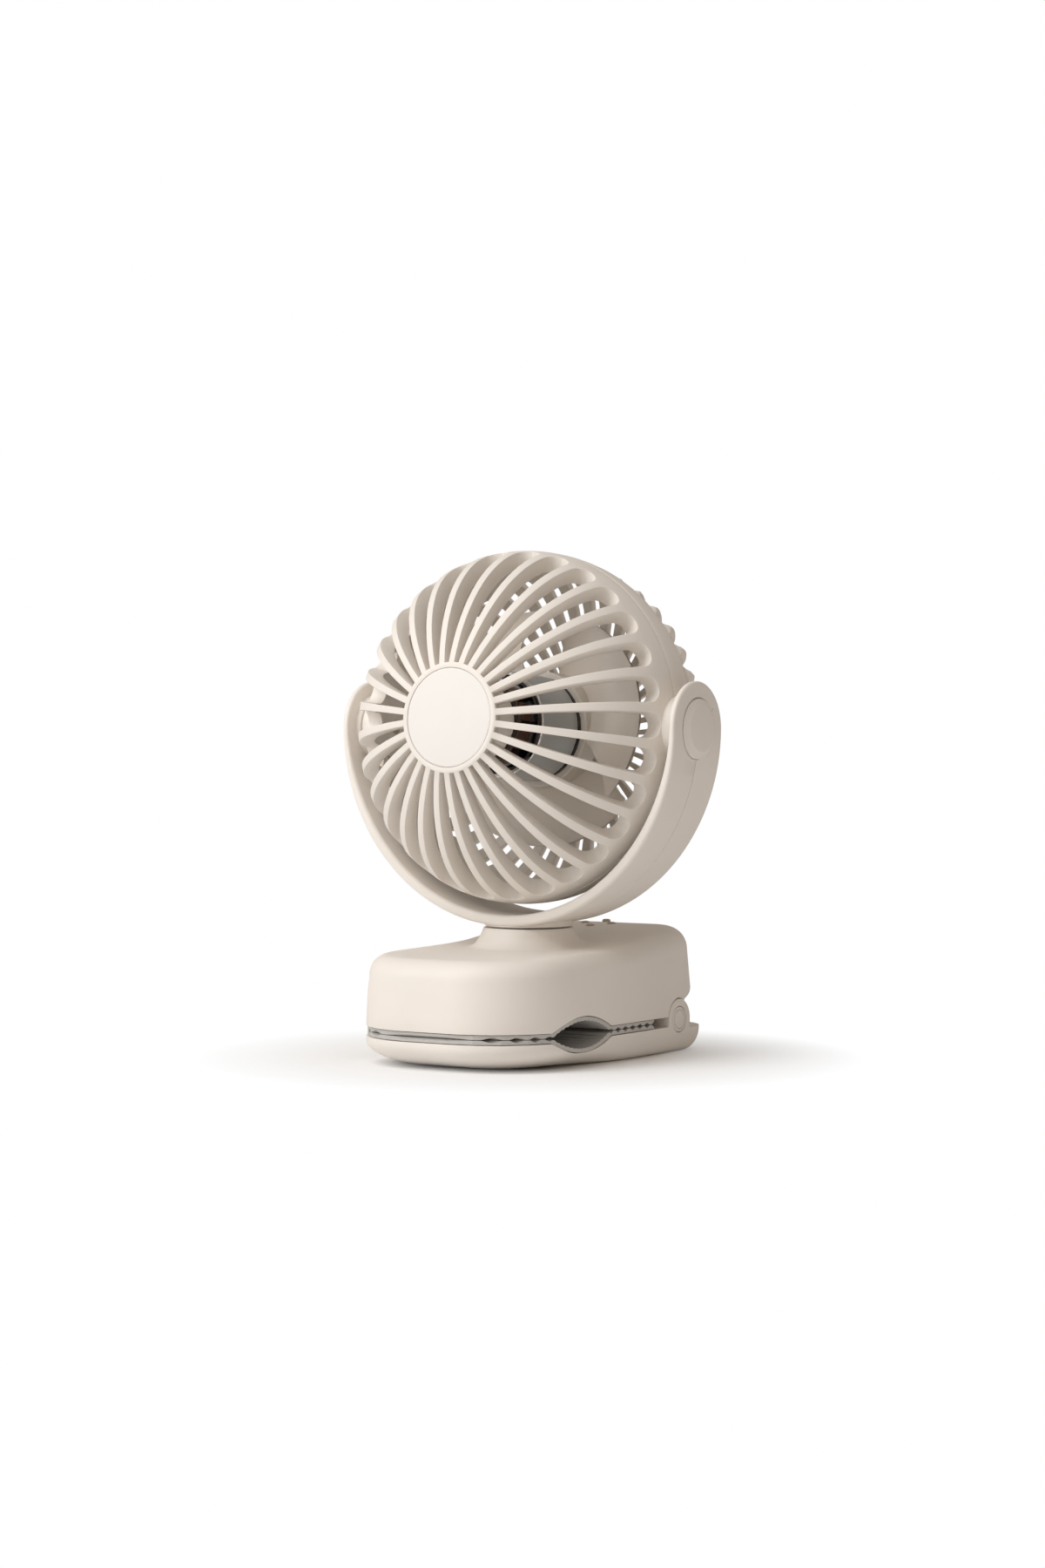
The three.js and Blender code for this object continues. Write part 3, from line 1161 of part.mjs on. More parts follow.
const finish = (color, roughness = 0.6, metalness = 0) => new THREE.MeshStandardMaterial({
  color, roughness, metalness,
});
const IVORY = finish(0xece4da, 0.55);
const DISC = finish(0xf2eee9, 0.5);
const RUBBER = finish(0x8b8984, 0.9);
const STEEL = finish(0x9aa3a8, 0.35, 1);
const BLACK = finish(0x1d1c1b, 0.7);
const COPPER = finish(0xb06a3c, 0.4, 1);
const BRASS = finish(0xb89a5a, 0.35, 1);
const BLADE = finish(0xc9b8a6, 0.4);
const BOARD = finish(0x2f6b45, 0.6);
const CELL = finish(0x3f7fb0, 0.5);
const KEY = finish(0xb7a796, 0.6);

function mesh(name, shape, material) {
  const geometry = shape.getMesh ? skinOf(shape) : closed(shape);
  const piece = new THREE.Mesh(geometry, material);
  piece.name = name;
  return piece;
}

const fan = new THREE.Group();
const base = new THREE.Group();
const jaw = new THREE.Group();
const yoke = new THREE.Group();
const head = new THREE.Group();
const rotor = new THREE.Group();

base.add(
  mesh('base_shell', baseShell(), IVORY),
  mesh('jaw_plate', jawPlate(), IVORY),
  mesh('upper_pad', pad(SHELL_EDGE, NOTCH_RISE, -1), RUBBER),
  mesh('hinge_pin', aboutX(rod(
    PIN_RADIUS, -BASE_HALF_WIDTH + PIN_CAP_THICK + 2 * SEAT_GAP, BASE_HALF_WIDTH - PIN_CAP_THICK - 2 * SEAT_GAP, 16,
  )).translate(0, HINGE_Y, HINGE_Z), STEEL),
  mesh('jaw_spring', jawSpring(), STEEL),
  mesh('control_board', controlBoard(), BOARD),
  mesh('usb_socket', usbSocket(), STEEL),
  mesh('cell_front', cell(CELL_FRONT_Y), CELL),
  mesh('cell_rear', cell(CELL_FRONT_Y + CELL_SPACING), CELL),
  mesh('cell_tray', cellTray(), BLACK),
  mesh('swivel_washer', aboutZ(rod(
    NUT_RADIUS, -WASHER_TOP, -WASHER_TOP + SWIVEL_WASHER, SMALL_ROUND, SHAFT_RADIUS + SEAT_GAP,
  ).scale(1, -1, 1)), BLACK),
);
for (const key of KEYS) base.add(mesh(`key_${key.name}`, keyBody(key), KEY));

jaw.add(
  mesh('lower_jaw', lowerJaw(), IVORY),
  mesh('lower_plate', lowerPlate(), IVORY),
  mesh('lower_pad', pad(JAW_TOP, -NOTCH_DROP, 1), RUBBER),
  mesh('pin_cap_right', pinCap(1), IVORY),
  mesh('pin_cap_left', pinCap(-1), IVORY),
);

const band = yokeBand();
yoke.add(
  mesh('yoke_front', yokeHalf(band, -1), IVORY),
  mesh('yoke_rear', yokeHalf(band, 1), IVORY),
  mesh('swivel_shaft', swivelShaft(), STEEL),
  mesh('swivel_nut', swivelNut(), BRASS),
  mesh('yoke_lead', leadPath(LEAD_RADIUS), BLACK),
);
for (const [name, side] of [['right', 1], ['left', -1]]) {
  yoke.add(mesh(`pivot_cap_${name}`, pivotCap(side), IVORY));
  yoke.add(mesh(`pivot_washer_${name}`, pivotWasher(side), BLACK));
  head.add(mesh(`trunnion_${name}`, trunnion(side), IVORY));
}

head.add(
  mesh('front_grille', frontGrille(), IVORY),
  mesh('hub_disc', hubDisc(), DISC),
  mesh('rear_shell', rearShell(), IVORY),
  mesh('motor_pedestal', pedestal(), IVORY),
  mesh('motor_board', rod(
    MOTOR_BOARD_RADIUS, BOARD_BACK_Y - MOTOR_BOARD_THICK, BOARD_BACK_Y, SMALL_ROUND, TUBE_RADIUS + SEAT_GAP,
  ), BOARD),
  mesh('bearing_tube', rod(TUBE_RADIUS, HUB_BACK + SEAT_GAP, CORE_BACK + 1, TINY_ROUND, TUBE_BORE), BRASS),
  mesh('stator_core', core(), STEEL),
  mesh('coils_front', coils(COIL_FRONT, CORE_FRONT - SEAT_GAP), COPPER),
  mesh('coils_rear', coils(CORE_BACK + SEAT_GAP, CORE_BACK + 4), COPPER),
);

rotor.add(
  mesh('fan_impeller', impeller(), BLADE),
  mesh('motor_can', motorCan(), STEEL),
  mesh('magnet_ring', rod(MAGNET_OUTER, CAN_FRONT + 1, CAN_BACK - CAN_WALL - 1, ROUND, MAGNET_INNER), BLACK),
  mesh('motor_shaft', rod(SHAFT_PIN_RADIUS, HUB_BACK + 2, FAN_HUB_FRONT + 6, 16), STEEL),
  mesh('can_ring', rod(CAN_RADIUS - 0.2, CAN_BACK + SEAT_GAP, CAN_BACK + SEAT_GAP + RING_THICK, ROUND, 6), BLACK),
);

head.add(rotor);
head.position.z = PIVOT_Z;
head.rotation.x = -HEAD_TILT;
fan.add(base, jaw, yoke, head);

export default fan;
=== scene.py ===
import math

import bpy
from mathutils import Matrix, Vector


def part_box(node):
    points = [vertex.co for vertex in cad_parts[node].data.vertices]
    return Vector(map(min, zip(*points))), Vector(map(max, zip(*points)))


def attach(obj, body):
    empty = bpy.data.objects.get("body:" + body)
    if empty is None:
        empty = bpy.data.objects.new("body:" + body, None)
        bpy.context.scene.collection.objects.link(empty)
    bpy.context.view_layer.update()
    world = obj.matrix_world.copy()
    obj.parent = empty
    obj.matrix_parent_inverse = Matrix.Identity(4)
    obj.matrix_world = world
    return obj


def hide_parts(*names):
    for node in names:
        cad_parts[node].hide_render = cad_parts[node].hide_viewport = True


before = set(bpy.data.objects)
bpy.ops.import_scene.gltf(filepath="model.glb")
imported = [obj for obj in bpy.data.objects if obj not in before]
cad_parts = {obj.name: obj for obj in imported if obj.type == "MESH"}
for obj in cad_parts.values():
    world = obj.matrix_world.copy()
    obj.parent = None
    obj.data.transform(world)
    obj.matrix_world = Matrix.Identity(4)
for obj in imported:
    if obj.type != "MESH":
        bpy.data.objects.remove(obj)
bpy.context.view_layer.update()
mm = 0.001

# ---------------------------------------------------------------- camera
# The view: from the fan's front right, a little above the height of its hub,
# with a long lens, as a catalogue picture of a small appliance is taken.
camera_data = bpy.data.cameras.new("camera")
camera_data.lens = 80
camera_data.sensor_width = 36
camera = bpy.data.objects.new("camera", camera_data)
bpy.context.scene.collection.objects.link(camera)
camera.location = (0.76935, -1.18111, 0.14471)
view_direction = Vector((-0.5471, 0.8367, -0.0244))
camera.rotation_euler = view_direction.to_track_quat("-Z", "Y").to_euler()
bpy.context.scene.camera = camera

# ---------------------------------------------------------------- light and table
# A white table top that fades into a white room, one large soft lamp at the
# front left, one above the front, and the room's own warm, even light.
def lamp(name, place, aim, size, watts):
    data = bpy.data.lights.new(name, "AREA")
    data.shape = "DISK"
    data.size = size
    data.energy = watts
    unit = bpy.data.objects.new(name, data)
    unit.location = place
    unit.rotation_euler = (Vector(aim) - Vector(place)).to_track_quat("-Z", "Y").to_euler()
    bpy.context.scene.collection.objects.link(unit)


lamp_aim = (0, 0, 0.1)
lamp("front_left_lamp", (-0.85, -1.45, 0.85), lamp_aim, 1.3, 13)
lamp("top_front_lamp", (-0.25, -0.9, 1.5), lamp_aim, 1.1, 11)

room = bpy.data.worlds.new("room")
room.use_nodes = True
links = room.node_tree.links
nodes = room.node_tree.nodes
nodes.clear()
rays = nodes.new("ShaderNodeLightPath")
seen = nodes.new("ShaderNodeMath")
seen.operation = "MAXIMUM"
even = nodes.new("ShaderNodeBackground")
even.inputs["Color"].default_value = (1.0, 0.89, 0.79, 1)
even.inputs["Strength"].default_value = 0.40
white = nodes.new("ShaderNodeBackground")
white.inputs["Color"].default_value = (1, 1, 1, 1)
white.inputs["Strength"].default_value = 1
mixed = nodes.new("ShaderNodeMixShader")
out = nodes.new("ShaderNodeOutputWorld")
links.new(rays.outputs["Is Camera Ray"], seen.inputs[0])
links.new(rays.outputs["Is Transmission Ray"], seen.inputs[1])
links.new(seen.outputs[0], mixed.inputs["Fac"])
links.new(even.outputs[0], mixed.inputs[1])
links.new(white.outputs[0], mixed.inputs[2])
links.new(mixed.outputs[0], out.inputs["Surface"])
bpy.context.scene.world = room

bpy.ops.object.select_all(action="DESELECT")
bpy.ops.mesh.primitive_circle_add(vertices=96, radius=6, fill_type="NGON", location=(0, 0, 0))
table = bpy.context.object
table.name = "table_top"
table_paint = bpy.data.materials.new("table_paint")
table_paint.use_nodes = True
nodes = table_paint.node_tree.nodes
links = table_paint.node_tree.links
nodes.clear()
place = nodes.new("ShaderNodeTexCoord")
reach = nodes.new("ShaderNodeVectorMath")
reach.operation = "LENGTH"
fade = nodes.new("ShaderNodeMapRange")
fade.inputs["From Min"].default_value = 0.05
fade.inputs["From Max"].default_value = 0.135
paint = nodes.new("ShaderNodeBsdfPrincipled")
paint.inputs["Base Color"].default_value = (0.92, 0.92, 0.92, 1)
paint.inputs["Roughness"].default_value = 0.85
paint.inputs["Specular IOR Level"].default_value = 0.1
glow = nodes.new("ShaderNodeEmission")
glow.inputs["Strength"].default_value = 1
rays = nodes.new("ShaderNodeLightPath")
both = nodes.new("ShaderNodeMath")
both.operation = "MULTIPLY"
mixed = nodes.new("ShaderNodeMixShader")
out = nodes.new("ShaderNodeOutputMaterial")
links.new(place.outputs["Object"], reach.inputs[0])
links.new(reach.outputs["Value"], fade.inputs["Value"])
links.new(fade.outputs["Result"], both.inputs[0])
links.new(rays.outputs["Is Camera Ray"], both.inputs[1])
links.new(both.outputs[0], mixed.inputs["Fac"])
links.new(paint.outputs[0], mixed.inputs[1])
links.new(glow.outputs[0], mixed.inputs[2])
links.new(mixed.outputs[0], out.inputs["Surface"])
table.data.materials.append(table_paint)

# ---------------------------------------------------------------- base shell
# The upper half of the clip, which holds the cells and the board. One ABS
# moulding with a soft top edge, a sloped rear panel and a flared neck.
def moulded(name, colour, roughness, grain=0.05, metallic=0.0, clear=0.0):
    """A moulded or machined surface: faint uneven colour and a fine grain."""
    material = bpy.data.materials.new(name)
    material.use_nodes = True
    nodes = material.node_tree.nodes
    links = material.node_tree.links
    shader = nodes["Principled BSDF"]
    shader.inputs["Metallic"].default_value = metallic
    shader.inputs["Transmission Weight"].default_value = clear
    where = nodes.new("ShaderNodeTexCoord")
    cloud = nodes.new("ShaderNodeTexNoise")
    cloud.inputs["Scale"].default_value = 22
    cloud.inputs["Detail"].default_value = 3
    tones = nodes.new("ShaderNodeValToRGB")
    tones.color_ramp.elements[0].position = 0.35
    tones.color_ramp.elements[1].position = 0.7
    tones.color_ramp.elements[0].color = (*[c * 0.97 for c in colour], 1)
    tones.color_ramp.elements[1].color = (*[min(1, c * 1.02) for c in colour], 1)
    sparkle = nodes.new("ShaderNodeTexNoise")
    sparkle.inputs["Scale"].default_value = 2600
    sparkle.inputs["Detail"].default_value = 2
    rough = nodes.new("ShaderNodeMapRange")
    rough.inputs["To Min"].default_value = roughness - 0.05
    rough.inputs["To Max"].default_value = roughness + 0.05
    bump = nodes.new("ShaderNodeBump")
    bump.inputs["Strength"].default_value = grain
    bump.inputs["Distance"].default_value = 0.0001
    links.new(where.outputs["Object"], cloud.inputs["Vector"])
    links.new(where.outputs["Object"], sparkle.inputs["Vector"])
    links.new(cloud.outputs["Fac"], tones.inputs["Fac"])
    links.new(tones.outputs["Color"], shader.inputs["Base Color"])
    links.new(cloud.outputs["Fac"], rough.inputs["Value"])
    links.new(rough.outputs["Result"], shader.inputs["Roughness"])
    links.new(sparkle.outputs["Fac"], bump.inputs["Height"])
    links.new(bump.outputs["Normal"], shader.inputs["Normal"])
    return material


def modelled(name, points, faces):
    """A mesh object from points in millimetres, selected alone."""
    mesh = bpy.data.meshes.new(name)
    mesh.from_pydata([(x * mm, y * mm, z * mm) for x, y, z in points], [], faces)
    piece = bpy.data.objects.new(name, mesh)
    bpy.context.scene.collection.objects.link(piece)
    bpy.ops.object.select_all(action="DESELECT")
    piece.select_set(True)
    bpy.context.view_layer.objects.active = piece
    return piece


def tidied(piece, weld=0.002):
    """Doubles merged and faces turned outwards."""
    bpy.context.view_layer.objects.active = piece
    bpy.ops.object.mode_set(mode="EDIT")
    bpy.ops.mesh.select_all(action="SELECT")
    bpy.ops.mesh.remove_doubles(threshold=weld * mm)
    bpy.ops.mesh.normals_make_consistent(inside=False)
    bpy.ops.object.mode_set(mode="OBJECT")
    return piece


def stacked(name, rings):
    """A closed skin through rings of equal length."""
    count = len(rings[0])
    points = [p for ring in rings for p in ring]
    faces = []
    for k in range(len(rings) - 1):
        for i in range(count):
            j = (i + 1) % count
            faces.append((k * count + i, k * count + j, (k + 1) * count + j, (k + 1) * count + i))
    faces.append(tuple(range(count))[::-1])
    faces.append(tuple((len(rings) - 1) * count + i for i in range(count)))
    return tidied(modelled(name, points, faces))


def side_cut(name, outline, half):
    """A side outline in Y and Z, carried across the width."""
    count = len(outline)
    points = [(-half, y, z) for y, z in outline] + [(half, y, z) for y, z in outline]
    faces = [tuple(range(count)), tuple(range(2 * count - 1, count - 1, -1))]
    faces += [(i, (i + 1) % count, count + (i + 1) % count, count + i) for i in range(count)]
    return tidied(modelled(name, points, faces))


def drum(name, centre, radius, length, axis, sides=64):
    """A round cutter about a row axis, at a centre in millimetres."""
    turn = {"X": (0, math.pi / 2, 0), "Y": (math.pi / 2, 0, 0), "Z": (0, 0, 0)}[axis]
    bpy.ops.object.select_all(action="DESELECT")
    bpy.ops.mesh.primitive_cylinder_add(
        vertices=sides, radius=radius * mm, depth=length * mm,
        location=[c * mm for c in centre], rotation=turn)
    tool = bpy.context.object
    tool.name = name
    bpy.ops.object.transform_apply(location=True, rotation=True, scale=True)
    return tool


def cut(piece, *tools):
    """The tools' shapes taken out of a piece."""
    for tool in tools:
        step = piece.modifiers.new("cut", "BOOLEAN")
        step.operation = "DIFFERENCE"
        step.solver = "EXACT"
        step.object = tool
        bpy.context.view_layer.objects.active = piece
        bpy.ops.object.modifier_apply(modifier=step.name)
        bpy.data.objects.remove(tool)
    return piece


def softened(piece, width, segments=2, angle=40):
    """Edges rounded, and the surface smoothed up to an angle."""
    bpy.ops.object.select_all(action="DESELECT")
    piece.select_set(True)
    bpy.context.view_layer.objects.active = piece
    if width:
        edge = piece.modifiers.new("edge", "BEVEL")
        edge.width = width * mm
        edge.segments = segments
        edge.limit_method = "ANGLE"
        edge.angle_limit = math.radians(angle)
        edge.use_clamp_overlap = True
        bpy.ops.object.modifier_apply(modifier=edge.name)
    bpy.ops.object.shade_smooth_by_angle(angle=math.radians(38))
    return piece


base_half, base_front, base_rear = 45.4, 73.6, 68.0
front_corner, rear_corner = 35.5, 20.0
shell_edge, top_round = 15.4, 8.0
neck_radius, neck_top, neck_flare = 18.2, 52.4, 8.8
wall_lean, rear_lean = 0.044, 0.055
deck_height, deck_rise, panel_rise = 44.7, 1.5 / 78.6, 6.5 / 63.0
bend_y, bend_soft, rear_lift = 5, 5, 1.5
hinge_roof, roof_roll, ear_gap = 20.3, 6.0, 0.5
past_sides = 60
hinge_y, hinge_z, ear_radius = 43.3, 13.9, 8.3
notch_front, notch_back = -49.9, -9.0


def plan(inset, rear, steps=12):
    """The clip's outline from above, drawn inwards."""
    half, front, back = base_half - inset, -base_front + inset, rear - inset
    rf, rb = max(front_corner - inset, 1), max(rear_corner - inset, 1)
    points = []

    def corner(cx, cy, r, start):
        for i in range(steps + 1):
            t = math.radians(start + 90 * i / steps)
            points.append((cx + r * math.cos(t), cy + r * math.sin(t)))

    def side(x, y0, y1):
        points.extend((x, y0 + (y1 - y0) * i / 10) for i in range(1, 10))

    def end(x0, x1, y):
        points.extend((x0 + (x1 - x0) * i / 5, y) for i in range(1, 5))

    corner(half - rf, front + rf, rf, -90)
    side(half, front + rf, back - rb)
    corner(half - rb, back - rb, rb, 0)
    end(half - rb, -half + rb, back)
    corner(-half + rb, back - rb, rb, 90)
    side(-half, back - rb, front + rf)
    corner(-half + rf, front + rf, rf, 180)
    end(-half + rf, half - rf, front)
    return points


def top_height(y):
    """The deck's height: nearly level in front, then a bend and a climb to the rear."""
    climb = panel_rise - deck_rise
    lift = min(1, max(0, (y - 12) / 32))
    return (deck_height + deck_rise * (y - bend_y)
            + climb * bend_soft * math.log1p(math.exp((y - bend_y) / bend_soft))
            + rear_lift * lift * lift * (3 - 2 * lift))


def base_form(name, inset, bottom):
    """The whole moulding as one closed form, set inwards for the room inside it."""
    lean = lambda z: inset + wall_lean * (z - shell_edge)
    rear = lambda z: base_rear - rear_lean * (z - shell_edge)
    rings = []
    for i in range(9):
        z = bottom if i == 0 else hinge_roof + roof_roll * (i / 8)
        drop = (hinge_roof + roof_roll - max(z, hinge_roof)) / roof_roll
        curl = roof_roll * (1 - math.sqrt(max(0, 1 - drop ** 2)))
        ring = []
        for (ax, ay), (bx, by) in zip(plan(lean(z), rear(z)), plan(lean(z) + 1, rear(z))):
            pull = curl * min(1, max(0, (ay - 44) / 10))
            ring.append((ax + (bx - ax) * pull, ay + (by - ay) * pull, z))
        rings.append(ring)
    wall = plan(lean(deck_height), rear(deck_height))
    inner = plan(lean(deck_height) + top_round, rear(deck_height))
    for i in range(11):
        t = math.radians(90) * i / 10
        ring = []
        for (ax, ay), (bx, by) in zip(wall, inner):
            grow = 1 + 0.2 * min(1, max(0, (ay - 5) / 55))
            radius = top_round * grow - inset
            share = (1 - math.cos(t)) * radius / top_round
            x, y = ax + (bx - ax) * share, ay + (by - ay) * share
            ring.append((x, y, top_height(y) - radius * (1 - math.sin(t)) - inset))
        rings.append(ring)
    edge = rings[-1]
    foot = neck_radius + neck_flare - inset

    def circle(r, height):
        ring = []
        for x, y, z in edge:
            t = math.atan2(y, x)
            ring.append((r * math.cos(t), r * math.sin(t), height(r * math.sin(t))))
        return ring

    inner = circle(foot, lambda y: top_height(y) - inset)
    for share in (0.25, 0.5, 0.75):
        ring = []
        for (ax, ay, _), (bx, by, _) in zip(edge, inner):
            x, y = ax + (bx - ax) * share, ay + (by - ay) * share
            ring.append((x, y, top_height(y) - inset))
        rings.append(ring)
    rings.append(inner)
    for share in (0.15, 0.3, 0.42, 0.54, 0.65, 0.75, 0.84, 0.92, 1):
        rise = share ** 3.2
        rings.append(circle(
            foot - share * neck_flare,
            lambda y, rise=rise: top_height(y) * (1 - rise) + neck_top * rise - inset))
    return stacked(name, rings)


def arch(y0, y1, level, rise, steps=28):
    """A round arch between two places on a level line."""
    half, tall = (y1 - y0) / 2, abs(rise)
    sign = 1 if rise > 0 else -1
    radius = (half * half + tall * tall) / (2 * tall)
    reach = math.asin(half / radius)
    return [((y0 + y1) / 2 + radius * math.sin(reach * (2 * i / steps - 1)),
             level + sign * (tall - radius + radius * math.cos(reach * (2 * i / steps - 1))))
            for i in range(steps + 1)]


def shell_underside():
    """The shell's lower edge from the side: notch, room for the ears, rolled rear."""
    points = [(-90, shell_edge)] + arch(notch_front, notch_back, shell_edge, 5.3)
    room, roof, roll = ear_radius + ear_gap, hinge_roof, roof_roll
    start = math.pi - math.asin((shell_edge - hinge_z) / room)
    final = math.asin((roof - hinge_z) / room)
    for i in range(17):
        t = start + (final - start) * i / 16
        points.append((hinge_y + room * math.cos(t), hinge_z + room * math.sin(t)))
    for i in range(9):
        t = math.radians(90) * i / 8
        points.append((base_rear - 1.1 - roll + roll * math.sin(t), roof + roll * (1 - math.cos(t))))
    return points + [(90, roof + roll)]


ivory = moulded("ivory_abs", (0.84, 0.795, 0.74), 0.5)
base_shell = base_form("base_shell_skin", 0, 6)
cut(base_shell, base_form("base_room", 2.2, 2),
    side_cut("under_cut", shell_underside() + [(90, -9), (-90, -9)], past_sides),
    drum("shaft_bore", (0, 0, 50), 8.5, 20, "Z"))
key_places = {"front": (0, 47.0), "left": (-6.5, 53.4), "right": (6.5, 53.4), "rear": (0, 59.8)}
key_radius, key_gap = 1.75, 0.3
for x, y in key_places.values():
    cut(base_shell, drum("key_hole", (x, y, 48), key_radius + key_gap, 16, "Z", 32))
softened(base_shell, 0.3, 2, 50)
base_shell.data.materials.append(ivory)
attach(base_shell, "base")
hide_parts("base_shell")

# ---------------------------------------------------------------- lower jaw
# The plate the fan stands on: the lower half of the clip with a boat-shaped
# edge, two hinge ears and a squeeze lever behind them.
jaw_top, jaw_rear, jaw_round, jaw_wall = 11.2, 73.6, 9.5, 2.2
jaw_draw, jaw_rear_draw, draw_start, draw_length = 28.0, 7.0, -52, 62
dish_back = 31
jaw_upper = [(-90, jaw_top)] + arch(notch_front, notch_back, jaw_top, -5.0)
jaw_upper += [(hinge_y - ear_radius - 0.6, jaw_top), (hinge_y - ear_radius - 0.15, jaw_top + 0.4)]
for i in range(25):
    t = math.pi * (1 - i / 24)
    jaw_upper.append((hinge_y + ear_radius * math.cos(t), hinge_z + ear_radius * math.sin(t)))
jaw_upper += [(hinge_y + ear_radius, 10.0), (90, 10.0), (90, 40), (-90, 40)]


def jaw_ring(share, z, wall=0.0):
    """The outline where the bottom is drawn in by a share: much in front, little behind."""
    ring = []
    for (ax, ay), (bx, by) in zip(plan(wall, jaw_rear), plan(wall + jaw_draw * share, jaw_rear)):
        back = min(1, max(0, (ay - draw_start) / draw_length))
        pull = 1 + (jaw_rear_draw / jaw_draw - 1) * back * back * (3 - 2 * back)
        ring.append((ax + (bx - ax) * pull, ay + (by - ay) * pull, z))
    return ring


rings = []
for i in range(13):
    t = math.radians(90) * i / 12
    rings.append(jaw_ring(1 - math.sin(t), jaw_round * (1 - math.cos(t))))
rings.append(jaw_ring(0, 30))
lower_jaw = stacked("lower_jaw_skin", rings)
rings = []
for level in (0, 0.1, 0.25, 0.6, 1):
    z = jaw_wall + level * (jaw_round - jaw_wall)
    share = 1 - math.sqrt(1 - (1 - z / jaw_round) ** 2)
    rings.append([(x, min(y, dish_back), z) for x, y, z in jaw_ring(share, z, jaw_wall)])
rings.append([(x, min(y, dish_back), z) for x, y, z in jaw_ring(0, 40, jaw_wall)])
ear_inside = base_half - 9.2
cut(lower_jaw, side_cut("jaw_upper_cut", jaw_upper, past_sides), stacked("dish", rings))
cut(lower_jaw,
    side_cut("knuckle_gap", [(34, 10), (52.6, 10), (52.6, 40), (34, 40)], ear_inside),
    drum("knuckle_round", (0, hinge_y, hinge_z), 6.9, 2 * ear_inside, "X"),
    drum("pin_bore", (0, hinge_y, hinge_z), 2.8, 120, "X", 32))
for side in (-1, 1):
    cut(lower_jaw, drum("cap_seat", (side * (base_half + 3.6), hinge_y, hinge_z), 5.5, 10, "X"))
softened(lower_jaw, 0.35, 2, 50)
lower_jaw.data.materials.append(ivory)
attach(lower_jaw, "jaw")
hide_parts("lower_jaw")

# ---------------------------------------------------------------- hinge pin caps
# A small round cap in each ear, with a turned groove, that hides the end of
# the steel pin.
def turned(name, profile, axis="Y", sides=96):
    """A lathed piece: a circle extruded and scaled from ring to ring.

    The profile is radius and height. One that starts in the middle is closed by
    flat ends, and one that returns to its start is a ring with a bore.
    """
    solid_piece = profile[0][0] == 0
    rings = [p for p in profile if p[0] > 0]
    r, h = rings[0]
    bpy.ops.object.select_all(action="DESELECT")
    bpy.ops.mesh.primitive_circle_add(
        vertices=sides, radius=r * mm, fill_type="NGON" if solid_piece else "NOTHING",
        location=(0, 0, h * mm))
    piece = bpy.context.object
    piece.name = name
    bpy.ops.object.transform_apply(location=True, rotation=True, scale=True)
    bpy.ops.object.mode_set(mode="EDIT")
    bpy.ops.mesh.select_mode(type="VERT")
    bpy.ops.mesh.select_all(action="SELECT")
    for next_r, next_h in rings[1:]:
        bpy.ops.mesh.extrude_region_move(
            TRANSFORM_OT_translate={"value": (0, 0, (next_h - h) * mm)})
        bpy.ops.transform.resize(
            value=(next_r / r, next_r / r, 1), center_override=(0, 0, next_h * mm))
        r, h = next_r, next_h
    bpy.ops.object.mode_set(mode="OBJECT")
    piece.data.transform({
        "X": Matrix.Rotation(math.pi / 2, 4, "Y"),
        "Y": Matrix.Rotation(-math.pi / 2, 4, "X"),
        "Z": Matrix.Identity(4)}[axis])
    return tidied(piece)


def moved(piece, x, y, z):
    piece.data.transform(Matrix.Translation((x * mm, y * mm, z * mm)))
    return piece


for side, word in ((1, "right"), (-1, "left")):
    outer, inner = base_half, base_half - 1.1
    pin_cap = turned("pin_cap_" + word + "_skin", [
        (0, side * inner), (5.1, side * inner), (5.1, side * (outer - 0.2)), (4.9, side * outer),
        (4.3, side * outer), (4.15, side * (outer - 0.7)), (3.65, side * (outer - 0.7)),
        (3.5, side * outer), (0, side * outer)], "X")
    moved(pin_cap, 0, hinge_y, hinge_z)
    softened(pin_cap, 0.08, 2, 30)
    pin_cap.data.materials.append(ivory)
    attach(pin_cap, "jaw")
    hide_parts("pin_cap_" + word)

# ---------------------------------------------------------------- keys
# Four small domed push keys in a diamond, that stand clear of the raised rear panel.
# Their colour, darker and browner than the shell, is painted shade.
key_rise = 1.3
# Darker, browner key colour: painted shade, not the keys' own tone.
shaded_key_plastic = moulded("shaded_key_plastic", (0.52, 0.44, 0.36), 0.5)
for word, (x, y) in key_places.items():
    low, high = [v / mm for v in (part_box("key_" + word)[0].z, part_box("key_" + word)[1].z)]
    high += key_rise
    key = turned("key_" + word + "_skin", [
        (0, low), (key_radius, low), (key_radius, high - 0.75), (1.66, high - 0.45), (1.4, high - 0.2),
        (0.9, high - 0.05), (0, high)], "Z", 32)
    moved(key, x, y, 0)
    softened(key, 0)
    key.data.materials.append(shaded_key_plastic)
    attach(key, "key_" + word)
    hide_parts("key_" + word)

# ---------------------------------------------------------------- yoke
# A U-shaped band in two halves that meet on its middle line, with round arm
# ends, soft outer edges and a low boss that stands on the neck.
pivot_z, yoke_outer, yoke_wall, yoke_half, arm_thinner = 133.0, 79.5, 4.5, 18.7, 1.7
cap_seat_radius, stub_bore_radius = 12.3, 5.3


def select_faces(piece, chosen):
    """Only the faces that a test accepts are left selected, in edit mode."""
    bpy.ops.object.mode_set(mode="EDIT")
    bpy.ops.mesh.select_mode(type="FACE")
    bpy.ops.mesh.select_all(action="DESELECT")
    bpy.ops.object.mode_set(mode="OBJECT")
    for face in piece.data.polygons:
        face.select = chosen(face.center / mm, face.normal)
    bpy.ops.object.mode_set(mode="EDIT")


